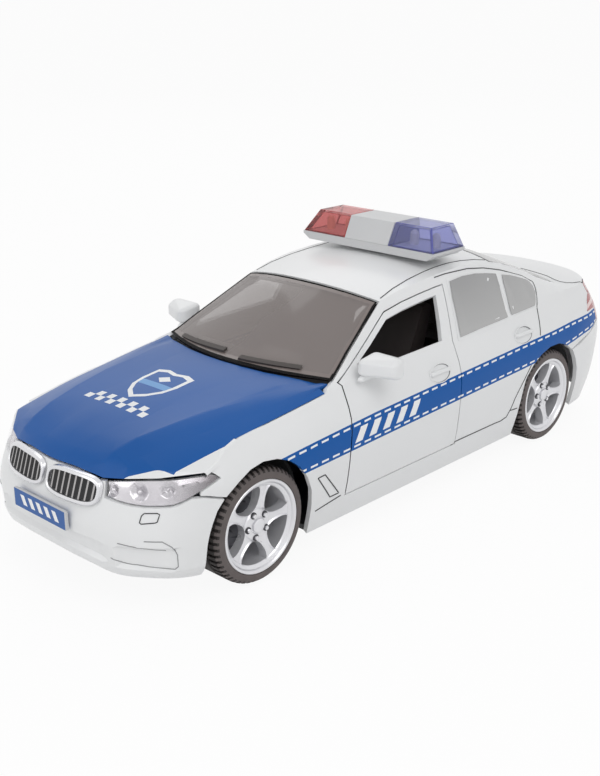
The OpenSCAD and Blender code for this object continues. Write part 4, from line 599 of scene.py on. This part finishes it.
rim = {
    "steps": 108, "bevel": 0.18,
    "profile": [(13.9, 1.4), (15.25, 1.4), (15.25, 14.15), (16.6, 15.7), (16.6, 16.7), (16.35, 16.95),
        (15.75, 16.95), (15.35, 16.6), (15.1, 15.9), (14.35, 15.6), (13.9, 15.0)],
    "hub": [(0.0, 11.0), (5.5, 11.0), (5.5, 14.1), (5.0, 14.6), (3.1, 14.9), (2.8, 14.5), (2.5, 14.6),
        (2.5, 15.6), (2.0, 16.0), (0.0, 16.15)],
    "hubSteps": 60,
}
spoke = {
    "count": 5, "back": 11.4, "faceHub": 14.5, "faceRim": 15.6, "from": 5.0, "long": 9.4,
    "channelEdge": 0.55, "channelDeep": 0.6,
    "half": [(4.6, 3.4), (5.4, 2.6), (6.4, 2.0), (7.8, 1.62), (9.8, 1.45), (11.4, 1.5), (12.8, 1.9),
        (13.7, 2.6), (14.4, 3.6)],  # radius and half width
}
nuts = {
    "ring": 4.35,  # and the parts are the well, a dark disc of painted shade where the recess is, then the nut
    "parts": ({"seat": 14.75, "sides": 18, "foot": 1.25, "head": 1.2, "tall": 0.5, "mat": 1},
              {"seat": 15.1, "sides": 6, "foot": 0.95, "head": 0.76, "tall": 0.9, "mat": 2}),
}
disc = {
    "steps": 72,
    "profile": [(1.55, 3.4), (12.0, 3.4), (12.0, 5.0), (10.9, 5.0), (10.8, 4.75), (10.4, 4.75),
        (10.3, 5.0), (7.6, 5.0), (7.4, 4.7), (5.8, 4.7), (5.4, 6.0), (1.55, 6.0)],
}


def spun(bm, profile, steps, closed=True):  # profile turned round the wheel's axis
    spin(bm, [(r * mm, w * mm, 0) for r, w in profile], (0, 1, 0), steps, tiny["sliver"] * mm, closed)


def tyreMesh(_):  # darker tread and sidewall marks, and notches in the shoulders
    bm = bmesh.new()
    spun(bm, tyre["profile"], tyre["steps"])
    faceOut(bm)
    blocks = []
    for face in bm.faces:
        spot = midOf(face)
        wide, reach = spot.y / mm, math.hypot(spot.x, spot.z) / mm
        step = round(math.atan2(spot.z, spot.x) / (2 * math.pi) * tyre["steps"] - 0.5)
        tread = reach > tyre["treadRadius"] and tyre["tread"][0] < wide < tyre["tread"][1]
        mark = reach > tyre["markRadius"] and wide > tyre["markFrom"] and step % 2 == 0
        face.material_index = int(tread or mark)
        shoulder = reach > tyre["shoulderRadius"] and any(a < wide < b for a, b in tyre["shoulders"])
        if shoulder and step % 2 == 0:
            blocks.append(face)
    cut = ops.extrude_face_region(bm, geom=blocks)["geom"]
    ops.delete(bm, geom=[f for f in blocks if f.is_valid], context="FACES_ONLY")
    for vert in only(bmesh.types.BMVert, cut):
        vert.co -= Vector((vert.co.x, 0, vert.co.z)).normalized() * tyre["notch"] * mm
    for face in only(bmesh.types.BMFace, cut):
        face.material_index = 1
    return bm


def spokeMesh(bm, turn):  # waisted spoke with a channel down its face
    outline = spoke["half"] + [(r, -h) for r, h in reversed(spoke["half"])]
    verts = [bm.verts.new((r * mm, spoke["back"] * mm, h * mm)) for r, h in outline]
    top = ops.extrude_face_region(bm, geom=[bm.faces.new(verts)])["geom"]
    crown = only(bmesh.types.BMFace, top)
    for vert in only(bmesh.types.BMVert, top):
        share = (vert.co.x / mm - spoke["from"]) / spoke["long"]
        vert.co.y = (spoke["faceHub"] + (spoke["faceRim"] - spoke["faceHub"]) * share) * mm
    inner = ops.inset_region(bm, faces=crown, thickness=spoke["channelEdge"] * mm, depth=0.0,
                             use_even_offset=True)
    for vert in {v for f in crown for v in f.verts}:
        vert.co.y -= spoke["channelDeep"] * mm
    whole = set(verts) | {v for f in crown + inner["faces"] for v in f.verts}
    ops.rotate(bm, verts=list(whole), cent=(0, 0, 0), matrix=Matrix.Rotation(math.radians(turn), 3, "Y"))


def rimMesh(end):
    bm, pitch, upright = bmesh.new(), 360 / spoke["count"], Matrix.Rotation(-math.pi / 2, 4, "X")
    spun(bm, rim["profile"], rim["steps"])
    for k in range(spoke["count"]):
        spokeMesh(bm, wheel["turn"][end] + k * pitch)
    spun(bm, rim["hub"], rim["hubSteps"], closed=False)
    faceOut(bm)
    for k in range(spoke["count"]):  # a nut in its dark well of painted shade between each two spokes
        turn = Matrix.Rotation(math.radians(wheel["turn"][end] + (k + 0.5) * pitch), 4, "Y")
        for part in nuts["parts"]:
            seat = Matrix.Translation((nuts["ring"] * mm, part["seat"] * mm, 0)) @ upright
            made = ops.create_cone(bm, cap_ends=True, segments=part["sides"], radius1=part["foot"] * mm,
                                   radius2=part["head"] * mm, depth=part["tall"] * mm, matrix=turn @ seat)
            for face in {f for v in made["verts"] for f in v.link_faces}:
                face.material_index = part["mat"]
    return bm


def discMesh(_):
    bm = bmesh.new()
    spun(bm, disc["profile"], disc["steps"])
    faceOut(bm)
    return bm


def onAxle(build, end):  # one wheel on each side, as one mesh
    pair = bmesh.new()
    for sign in (1, -1):
        bm = build(end)
        ops.translate(bm, verts=bm.verts, vec=(0, wheel["inner"] * mm, 0))
        if sign < 0:
            ops.scale(bm, verts=bm.verts, vec=(1, -1, 1))
            ops.reverse_faces(bm, faces=bm.faces)
        ops.translate(bm, verts=bm.verts, vec=(wheel[end] * mm, 0, wheel["height"] * mm))
        half = bpy.data.meshes.new("half")
        bm.to_mesh(half)
        bm.free()
        pair.from_mesh(half)
        bpy.data.meshes.remove(half)
    return pair


for end in ("front", "rear"):
    body = end + "_wheels"
    place(end + "Tyres", onAxle(tyreMesh, end), body, "tyre_rubber", [tyreRubber, treadRubber],
          ("tyres_" + end,), sharp="tyre")
    place(end + "Rims", onAxle(rimMesh, end), body, "plated", [wheelSilver, nutWellShade, plated],
          ("rims_" + end,), sharp="cabin", bevel=rim["bevel"])
    place(end + "Discs", onAxle(discMesh, end), body, "steel", discSteel, ("brake_discs_" + end,),
          sharp="cabin")
print("wheels done")

# Seams and printed outlines
seams = {"wide": 0.4, "lift": 0.05, "step": 0.8, "thick": 0.14}
seamPaths = {
    "rearDoorSeam": [(-16.5, 36.4, 83.2), (-23.5, 35.8, 83.1), (-37.8, 35.9, 82.6), (-50.0, 35.6, 80.7),
        (-62.6, 35.4, 77.6), (-79.1, 35.7, 72.2), (-85.3, 37.5, 68.8), (-83.2, 40.4, 66.7),
        (-76.1, 46.0, 61.0), (-74.2, 48.5, 56.8), (-72.6, 50.5, 53.1), (-71.6, 51.3, 50.4)],
    "rearDoorLowSeam": [(-65.0, 52.3, 39.0), (-62.2, 51.9, 35.3), (-59.2, 51.7, 31.6), (-55.3, 51.3, 26.5),
        (-52.9, 50.8, 21.8), (-50.8, 50.4, 19.2), (-46.6, 50.3, 18.5), (-42.8, 50.4, 18.7),
        (-12.4, 50.4, 18.9)],
    "archSpur": [(-53.0, 50.8, 21.6), (-59.0, 50.7, 21.1)],
    "sillSeam": [(53.6, 50.4, 18.7), (60.0, 50.2, 17.9), (66.6, 50.0, 16.9)],
    "roofSeam": [(12.4, 32.8, 79.6), (4.0, 32.1, 81.8), (-5.0, 31.4, 83.2), (-14.0, 30.8, 84.1),
        (-23.1, 30.3, 84.7), (-33.8, 30.5, 84.9), (-44.3, 31.2, 84.2), (-53.2, 31.6, 82.9),
        (-62.5, 31.9, 80.7), (-70.0, 31.6, 78.6)],
    "bootSeam": [(-112.6, 0.0, 65.6), (-112.3, 14.0, 65.5), (-111.7, 28.5, 65.0), (-110.0, 33.5, 64.5),
        (-109.9, 36.4, 64.1), (-111.4, 39.1, 63.7), (-114.4, 40.7, 63.4), (-120.0, 41.3, 62.6),
        (-127.0, 41.2, 60.8)],
    "fenderVent": [(66.9, 51.7, 30.0), (63.3, 51.7, 30.2), (54.9, 50.5, 20.2), (59.6, 50.6, 20.2),
        (66.9, 51.7, 30.0)],
}


def ribbon(bm, points, tree, wide, sign):  # thin strip laid on a surface
    spots = []
    for a, b in zip(points, points[1:]):
        a, b = Vector(a), Vector(b)
        count = max(1, round((b - a).length / seams["step"]))
        spots += [a.lerp(b, k / count) for k in range(count)]
    spots.append(Vector(points[-1]))
    landed = [tree.find_nearest(flip(p, sign)) for p in spots]
    left, right = [], []
    for k, (co, normal, _, _) in enumerate(landed):
        ahead = landed[min(k + 1, len(landed) - 1)][0] - landed[max(k - 1, 0)][0]
        aside = normal.cross(ahead).normalized() * wide / 2 * mm
        left.append(bm.verts.new(co + aside + normal * seams["lift"] * mm))
        right.append(bm.verts.new(co - aside + normal * seams["lift"] * mm))
    for k in range(len(landed) - 1):
        bm.faces.new((left[k], right[k], right[k + 1], left[k + 1]))


bodyTree, bumperTree = surface("body_shell"), surface("front_bumper")
for name, path in seamPaths.items():
    bm = bmesh.new()
    for sign in (1, -1):
        ribbon(bm, path, bodyTree, seams["wide"], sign)
    faceOut(bm)
    sheet(name, bm, "base", "black_plastic", seamGrey, seams["thick"])

towCover = {
    "wide": 0.32,
    "outline": [(132.3, 38.7, 35.5), (129.6, 41.8, 35.6), (129.1, 42.3, 35.2), (130.1, 42.2, 33.0),
        (130.6, 41.8, 32.7), (133.6, 38.6, 32.3), (134.0, 38.2, 32.7), (133.2, 38.3, 34.8),
        (132.3, 38.7, 35.5)],
}
bm = bmesh.new()
ribbon(bm, towCover["outline"], bumperTree, towCover["wide"], 1)
sheet("towCover", bm, "base", "black_plastic", seamGrey, seams["thick"])

fogLamp = {
    "wide": 0.28, "inward": (-0.75, -0.66, 0.0), "reach": 12.0,
    "lines": [[(139.3, 29.6, 19.7), (137.1, 32.6, 18.3), (132.3, 40.2, 17.5), (126.4, 45.3, 16.1),
        (125.5, 45.9, 17.0), (125.7, 46.0, 21.3), (127.5, 45.6, 24.6), (129.9, 43.9, 26.7),
        (133.5, 39.5, 26.9)],
        [(138.6, 32.5, 25.5), (133.6, 38.8, 24.5), (128.6, 43.9, 23.2)]],
}


def fogPath(path):  # the line's spots, moved on to the bumper's skin
    inward = Vector(fogLamp["inward"])
    landed = [bumperTree.ray_cast((Vector(p) - inward * fogLamp["reach"]) * mm, inward)[0] for p in path]
    return [co / mm for co in landed if co]


bm = bmesh.new()
for sign in (1, -1):
    for path in fogLamp["lines"]:
        ribbon(bm, fogPath(path), bumperTree, fogLamp["wide"], sign)
faceOut(bm)
sheet("fogOutlines", bm, "base", "black_plastic", seamAndDishShade, seams["thick"])
print("seams laid")


def drape(outlines, land, cell=2.0):  # cuts flat outlines into small cells and lands each corner on a surface
    bm = bmesh.new()
    for outline in outlines:
        bm.faces.new([bm.verts.new((x * mm, y * mm, 0)) for x, y in outline])
    for axis in (0, 1):
        low, high = min(v.co[axis] for v in bm.verts), max(v.co[axis] for v in bm.verts)
        for k in range(1, math.ceil((high - low) / (cell * mm))):
            spot, normal = Vector(), Vector()
            spot[axis], normal[axis] = low + k * cell * mm, 1.0
            ops.bisect_plane(bm, geom=bm.verts[:] + bm.edges[:] + bm.faces[:], dist=tiny["slit"] * mm,
                             plane_co=spot, plane_no=normal)
    for vert in bm.verts:
        vert.co = land(vert.co.x, vert.co.y)
    faceOut(bm)
    return bm


# Black line round the screen, and white strip at the hood's corners
def sealLine():
    plain = lift("windshield_seal")
    top = {f for f in plain.faces if sealFlat(f)}
    middle = sum((midOf(f) for f in top), Vector()) / len(top)
    bm, made = bmesh.new(), {}
    for edge in plain.edges:
        flats = [f for f in edge.link_faces if f in top]
        walls = [f for f in edge.link_faces if f not in top]
        if len(flats) != 1 or not walls or walls[0].normal.dot(midOf(walls[0]) - middle) < 0:
            continue
        for vert in (v for v in edge.verts if v not in made):
            outer = vert.co + flats[0].normal * seal["lineRise"] * mm
            inner = outer + (middle - vert.co).normalized() * seal["lineWide"] * mm
            made[vert] = (bm.verts.new(outer), bm.verts.new(inner))
        a, b = (made[v] for v in edge.verts)
        bm.faces.new((a[0], b[0], b[1], a[1]))
    plain.free()
    faceOut(bm)
    return bm


sheet("sealRim", sealLine(), "base", "black_plastic", blackMatt, seal["lineThick"])
strip = {
    "from": 96.0, "to": 124.0, "side": 42.3, "station": 4.0, "heightShare": 0.1,
    "offsets": (-0.2, 0.7, 1.5), "drop": 0.6, "rise": 0.06, "thick": 0.1,
}


def hoodRim():  # outermost corner of the hood at each station along its front corner
    found = {}
    for vert in cad["hood"].data.vertices:
        x, y, z = vert.co / mm
        if strip["from"] < x < strip["to"] and y > strip["side"]:
            station, score = round(x / strip["station"]), y + strip["heightShare"] * z
            if station not in found or score > found[station][0]:
                found[station] = (score, Vector((x, y, z)))
    return [found[k][1] for k in sorted(found)]


def hoodJoin():  # white strip over the gap between hood and wing
    bm, path = bmesh.new(), hoodRim()
    for sign in (1, -1):
        last = None
        for k, spot in enumerate(path):
            along = path[min(k + 1, len(path) - 1)] - path[max(k - 1, 0)]
            out = Vector((-along.y, along.x, 0)).normalized()
            out = out if out.y > 0 else -out
            row = []
            for off in strip["offsets"]:
                co = (spot + out * off) * mm
                if off == strip["offsets"][-1]:  # the outer edge rests on the wing
                    down = bodyTree.ray_cast(Vector((co.x, co.y, rays["above"] * mm)), Vector((0, 0, -1)))[0]
                    co.z = max(co.z - strip["drop"] * mm, down.z) if down else co.z
                row.append(bm.verts.new((co.x, sign * co.y, co.z + strip["rise"] * mm)))
            if last:
                for a in range(len(row) - 1):
                    bm.faces.new((last[a], last[a + 1], row[a + 1], row[a]))
            last = row
    faceOut(bm)
    return bm


sheet("hoodJoin", hoodJoin(), "base", "white_body", bodyWhite, strip["thick"], weighted=True)

# Side windows and the tail lamp's wrap, as outlines in X and Z
glazing = {
    "frame": [(-18.8, 58.9), (-21.5, 74.5), (-22.8, 81.6), (-32.5, 82.0), (-41.5, 81.4), (-57.5, 78.4),
        (-73.5, 74.3), (-82.2, 71.0), (-83.6, 67.8), (-75.4, 60.4), (-54.0, 59.6)],
    "door": [(-24.2, 80.3), (-32.5, 80.8), (-41.5, 80.2), (-49.6, 78.9), (-57.1, 77.3), (-56.0, 71.9),
        (-53.4, 61.3), (-36.2, 60.8), (-20.5, 60.1), (-22.4, 74.0)],
    "quarter": [(-61.6, 76.1), (-68.1, 74.7), (-73.5, 73.0), (-80.2, 70.7), (-81.8, 69.6), (-82.2, 67.9),
        (-80.5, 65.8), (-77.8, 63.7), (-74.8, 61.9), (-65.8, 61.7), (-56.5, 61.5), (-57.4, 66.3),
        (-59.1, 71.4)],
    "frameRise": 0.1, "paneRise": 0.4, "thick": 0.06, "probe": 1.0,
}
tailWrap = {
    "outline": [(-113.0, 52.2), (-113.4, 53.2), (-116.9, 55.8), (-121.0, 57.7), (-124.5, 58.6),
        (-127.0, 57.0), (-127.0, 51.9)],
    "rise": 0.1, "thick": 0.08,
}


def onSide(outlines, tree, sign, rise):  # lands on the car's side, straight in from the left or right
    probe, inward = glazing["probe"] * mm, Vector((0, -sign, 0))

    def land(x, z):
        around = [(0, 0), (probe, 0), (-probe, 0), (0, probe), (0, -probe)]
        starts = [Vector((x + a, sign * rays["aside"] * mm, z + b)) for a, b in around]
        hits = [tree.ray_cast(start, inward)[0] for start in starts]
        outs = sorted(sign * co.y for co in hits if co is not None)
        if not outs:
            return tree.find_nearest(Vector((x, sign * rays["flank"] * mm, z)))[0]
        middle = outs[len(outs) // 2]  # steps over narrow gaps
        return Vector((x, sign * (middle + rise * mm), z))
    return drape(outlines, land)


for sign, side in sides:
    tree = surface("body_shell", "side_glass_" + side)
    surround = onSide([glazing["frame"]], tree, sign, glazing["frameRise"])
    sheet("windowFrame_" + side, surround, "base", "white_body", bodyWhite, glazing["thick"])
    panes = onSide([glazing["door"], glazing["quarter"]], tree, sign, glazing["paneRise"])
    sheet("sideGlass_" + side, panes, "base", "grey_window", windowGrey, glazing["thick"],
          ("side_glass_" + side,))
    wrap = onSide([tailWrap["outline"]], surface("body_shell", "tail_light_" + side), sign, tailWrap["rise"])
    sheet("tailLampWrap_" + side, wrap, "base", "red_lens", tailRed, tailWrap["thick"])
print("side windows laid")

# Headlight insides
lampBed = {
    "bowls": [((136.4, 27.6, 41.2), 2.3), ((131.6, 35.6, 41.5), 3.0), ((125.4, 42.2, 42.2), 2.6)],
    "depth": 0.9, "dip": 1.7, "halvings": 4, "longest": 0.8, "middle": (100.0, 0.0, 42.0), "facing": 0.4,
    "bulb": 0.85, "bulbSink": 0.9, "bulbCells": (16, 10),
}


def lensSkin(side):  # outer skin of the lens, in small triangles
    bm, middle = lift("headlight_lens_" + side), Vector(lampBed["middle"]) * mm
    inner = [f for f in bm.faces
             if f.normal.dot((midOf(f) - middle).normalized()) < lampBed["facing"]]
    ops.delete(bm, geom=inner, context="FACES")
    ops.triangulate(bm, faces=bm.faces)
    for _ in range(lampBed["halvings"]):
        long = [e for e in bm.edges if e.calc_length() > lampBed["longest"] * mm]
        ops.subdivide_edges(bm, edges=long, cuts=1)
        ops.triangulate(bm, faces=bm.faces)
    bm.normal_update()
    return bm


def bedMesh(sign, side):  # bright moulded bed under the lens, with three bowls and their bulbs
    bm, tree, seats, moves = lensSkin(side), surface("headlight_lens_" + side), [], []
    for spot, size in lampBed["bowls"]:
        co, normal, _, _ = tree.find_nearest(flip(spot, sign))
        seats.append((co, normal if normal.x > 0 else -normal, size * mm))
    for vert in bm.verts:
        sink = lampBed["depth"]
        for co, normal, size in seats:
            gap = vert.co - co
            share = (gap - normal * gap.dot(normal)).length / size
            if share < 1:
                sink = lampBed["depth"] + lampBed["dip"] * (1 - share * share)
        moves.append(vert.normal * sink * mm)
    for vert, move in zip(bm.verts, moves):
        vert.co -= move
    across, around = lampBed["bulbCells"]
    for co, normal, _ in seats:
        at = Matrix.Translation(co - normal * (lampBed["depth"] + lampBed["bulbSink"]) * mm)
        ops.create_uvsphere(bm, u_segments=across, v_segments=around, radius=lampBed["bulb"] * mm, matrix=at)
    return bm


for sign, side in sides:
    place("lampBed_" + side, bedMesh(sign, side), "base", "plated", lampSilver, sharp="round")
print("lamp insides done")

# Door handles and mirror glasses
handle = {
    "front": (-2.7, 50.5, 50.6), "rear": (-60.1, 50.3, 53.0), "long": 6.2, "tall": 3.6,
    "ring": [(1.0, -0.2), (1.05, 0.22), (0.96, 0.3), (0.88, -0.2)], "ringSteps": 40, "ringWeld": 0.0001,
    "insideShare": 0.95, "insideFloor": -0.1, "bar": (12.0, 1.7, 2.3), "barSeat": (0.0, 0.5, 0.35),
    "barRound": 0.7, "barSteps": 3,
}


def handleMesh(centre, tree, sign):  # ring of the dished grip, its inside painted grey as shade, and the bar across it
    co, normal, _, _ = tree.find_nearest(flip(centre, sign))
    along = Vector((1, 0, 0))
    along = (along - normal * along.dot(normal)).normalized()
    up = normal.cross(along)
    if up.z < 0:
        up.negate()
    seat = Matrix((along, up, normal)).transposed()
    bm = bmesh.new()
    spin(bm, [(r, 0, h) for r, h in handle["ring"]], (0, 0, 1), handle["ringSteps"], handle["ringWeld"])
    for face in bm.faces:
        spot = midOf(face)
        # the inside of the dish takes the soft grey as painted shade
        inside = math.hypot(spot.x, spot.y) < handle["insideShare"] and spot.z > handle["insideFloor"]
        face.material_index = int(inside)
    ops.scale(bm, verts=bm.verts, vec=(handle["long"] * mm, handle["tall"] * mm, mm))
    bar = ops.create_cube(bm, size=1.0)["verts"]
    ops.scale(bm, verts=bar, vec=[v * mm for v in handle["bar"]])
    ops.translate(bm, verts=bar, vec=[v * mm for v in handle["barSeat"]])
    corners = list({e for v in bar for e in v.link_edges})
    ops.bevel(bm, geom=corners, offset=handle["barRound"] * mm, offset_type="OFFSET",
              segments=handle["barSteps"], profile=0.5, affect="EDGES", material=-1)
    ops.transform(bm, matrix=Matrix.Translation(co) @ seat.to_4x4(), verts=bm.verts)
    faceOut(bm)
    return bm


for sign, side in sides:
    carriers = (("front", surface("front_door_" + side), "door_" + side), ("rear", bodyTree, "base"))
    for end, tree, body in carriers:
        place(end + "Handle_" + side, handleMesh(handle[end], tree, sign), body, "white_body",
              [bodyWhite, seamAndDishShade], sharp="grip")

glass = {
    "wide": 0.62, "tall": 0.6, "outward": 0.8, "upward": 0.4, "behind": 20.0, "proud": 0.06, "thick": 0.16,
    "cells": (8, 6), "corner": 0.49,
}


def glassMesh(sign, node):  # plate on the mirror's rear face, without its four corners
    low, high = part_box(node)
    tree, mid, span = surface(node), (low + high) / 2, high - low
    across, upright = glass["cells"]
    bm = bmesh.new()
    ops.create_grid(bm, x_segments=across, y_segments=upright, size=0.5)
    corners = [v for v in bm.verts if min(abs(v.co.x), abs(v.co.y)) > glass["corner"]]
    for vert in bm.verts:
        spot = Vector((low.x - glass["behind"] * mm,
                       mid.y + sign * glass["outward"] * mm + vert.co.x * glass["wide"] * span.y,
                       mid.z + glass["upward"] * mm + vert.co.y * glass["tall"] * span.z))
        found = tree.ray_cast(spot, Vector((1, 0, 0)))[0]
        spot.x = found.x if found else mid.x
        vert.co = mirrorSpot(spot, high) - Vector((glass["proud"] * mm, 0, 0))
    ops.delete(bm, geom=corners, context="VERTS")
    faceOut(bm)
    return bm


for sign, side in sides:
    sheet("mirrorGlass_" + side, glassMesh(sign, "door_mirror_" + side), "door_" + side, "plated", plated,
          glass["thick"])
print("handles and mirror glasses done")

# Hood motif, in X and Y from its centre, with the shield drawn upright and then turned
motif = {
    "centre": (93.0, -2.0), "strip": 109.0, "square": 2.9, "columns": 11, "rows": 2, "field": 0.82,
    "rises": (0.03, 0.05, 0.07), "thick": 0.04,
    "shield": [(-9.5, 10.0), (-5.0, 11.4), (0.0, 10.2), (5.0, 11.4), (9.5, 10.0), (9.5, 2.0), (8.2, -3.6),
        (4.8, -8.4), (0.0, -11.8), (-4.8, -8.4), (-8.2, -3.6), (-9.5, 2.0)],
    "bar": [(-1.2, -7.6), (2.0, -7.2), (2.0, 7.2), (-1.2, 7.6)],
    "diamond": [(-6.8, 0.0), (-4.4, 3.2), (-2.0, 0.0), (-4.4, -3.2)],
}
hoodTree = surface("hood")


def hoodDecal(name, outlines, layer, mat):
    rise = motif["rises"][layer] * mm

    def land(x, y):
        co = hoodTree.ray_cast(Vector((x, y, rays["above"] * mm)), Vector((0, 0, -1)))[0]
        return co + Vector((0, 0, swell(x, y) + rise))
    bm = drape(outlines, land)
    for face in bm.faces:
        if face.normal.z < 0:
            face.normal_flip()
    sheet(name, bm, "base", "blue_print", mat, motif["thick"])


def fromCentre(outline):
    return [(motif["centre"][0] + x, motif["centre"][1] + y) for x, y in outline]


def shieldOutline(scale):
    return fromCentre([(-v * scale, u * scale) for u, v in motif["shield"]])


def chequers():
    size, made = motif["square"], []
    for row in range(motif["rows"]):
        for column in range(row % 2, motif["columns"], 2):
            x = motif["strip"] - row * size
            y = motif["centre"][1] + (column - motif["columns"] / 2) * size
            made.append([(x, y), (x + size, y), (x + size, y + size), (x, y + size)])
    return made


hoodDecal("hoodShield", [shieldOutline(1.0)], 0, printWhite)
hoodDecal("hoodShieldField", [shieldOutline(motif["field"])], 1, hoodBlue)
hoodDecal("hoodShieldBar", [fromCentre(motif["bar"])], 2, printPale)
hoodDecal("hoodShieldDiamond", [fromCentre(motif["diamond"])], 2, printWhite)
hoodDecal("hoodChequer", chequers(), 0, printWhite)
print("hood motif done")

# The other CAD nodes keep their shape
dress(["chassis_base", "battery_cover", "hinge_brackets", "push_switch"], darkPlastic)
dress(["chassis_screws", "battery_screw", "hinge_pins", "front_axle", "rear_axle"], steelPin)
dress(["hinge_arms_left", "hinge_arms_right"], bodyWhite)
dress(["battery_cells"], cellWrap)
dress(["circuit_board"], boardGreen)
dress(["speaker", "gearbox_left", "gearbox_right"], speakerGrey)
dress(["axle_gear", "idler_gear"], ivoryPlastic)
dress(["flywheel"], flywheelMetal)
print("carried-over nodes dressed")

# Stage and lights, in metres
studio = {
    "floor": 60.0, "floorDrop": 0.0002, "floorTone": (0.93, 0.93, 0.93, 1), "floorRough": 0.9,
    "glow": 0.93, "world": 0.53, "white": (1, 1, 1, 1), "aim": (0, 0, 0.04),
    "lamps": {"keyBox": ((0.35, 0.9, 1.1), 0.9, 5.4), "fillBox": ((1.1, -0.2, 0.7), 0.8, 2.4),
              "backBox": ((-0.7, -0.8, 1.0), 0.9, 2.0)},  # place, size and energy
}


def backdropMix(owner, plain, shown):  # camera, gloss and glass see the white backdrop
    nodes, links = treeOf(owner)
    seen, mix = nodes.new("ShaderNodeLightPath").outputs, nodes.new("ShaderNodeMixShader")
    direct = calc(owner, "MAXIMUM", seen["Is Camera Ray"], seen["Is Glossy Ray"])
    links.new(calc(owner, "MAXIMUM", direct, seen["Is Transmission Ray"]), mix.inputs[0])
    links.new(plain, mix.inputs[1])
    links.new(shown, mix.inputs[2])
    return mix.outputs[0]


world = bpy.data.worlds.new("studioWorld")
bpy.context.scene.world = world
world.use_nodes = True
nodes, links = treeOf(world)
soft, white = nodes["Background"], nodes.new("ShaderNodeBackground")
fill(soft, {"Color": studio["white"], "Strength": studio["world"]})
fill(white, {"Color": studio["white"]})
links.new(backdropMix(world, soft.outputs[0], white.outputs[0]), nodes["World Output"].inputs["Surface"])

floorMat = bpy.data.materials.new("paleFloor")
floorMat.use_nodes = True
nodes, links = treeOf(floorMat)
paleShader = nodes["Principled BSDF"]
fill(paleShader, {"Base Color": studio["floorTone"], "Roughness": studio["floorRough"]})
glow, part = nodes.new("ShaderNodeEmission"), nodes.new("ShaderNodeMixShader")
part.inputs[0].default_value = studio["glow"]
links.new(paleShader.outputs[0], part.inputs[1])
links.new(glow.outputs[0], part.inputs[2])
backdrop = backdropMix(floorMat, paleShader.outputs[0], part.outputs[0])
links.new(backdrop, nodes["Material Output"].inputs["Surface"])
bm = bmesh.new()
ops.create_grid(bm, x_segments=1, y_segments=1, size=studio["floor"])
mesh = bpy.data.meshes.new("floor")
bm.to_mesh(mesh)
bm.free()
mesh.materials.append(floorMat)
floor = show("floor", mesh)
floor.location.z = -studio["floorDrop"]
floor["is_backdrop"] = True

for name, (spot, size, energy) in studio["lamps"].items():
    light = bpy.data.lights.new(name, "AREA")
    light.shape, light.size, light.energy = "SQUARE", size, energy
    lamp = show(name, light)
    lamp.location = spot
    lamp.rotation_euler = (Vector(studio["aim"]) - Vector(spot)).to_track_quat("-Z", "Y").to_euler()
    lamp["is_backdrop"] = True

# Camera, in mm and degrees
shot = {
    "aim": (-4.0, -24.08, 26.02), "azimuth": 133.5, "elevation": 19.627, "distance": 485.25, "lens": 52.2,
    "sensor": 36.0, "near": 10.0, "roll": -0.08,
}
turned, raised = math.radians(shot["azimuth"]), math.radians(shot["elevation"])
back = Vector((math.sin(turned) * math.cos(raised), -math.cos(turned) * math.cos(raised), math.sin(raised)))
camera = bpy.data.cameras.new("camera")
camera.lens, camera.sensor_width, camera.clip_start = shot["lens"], shot["sensor"], shot["near"] * mm
view = show("camera", camera)
view.location = (Vector(shot["aim"]) + back * shot["distance"]) * mm
roll = Matrix.Rotation(math.radians(shot["roll"]), 3, "Z").to_quaternion()
view.rotation_euler = ((-back).to_track_quat("-Z", "Y") @ roll).to_euler()
bpy.context.scene.camera = view
bpy.context.scene.view_settings.view_transform = "Standard"

low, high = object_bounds()
print("scene ready")
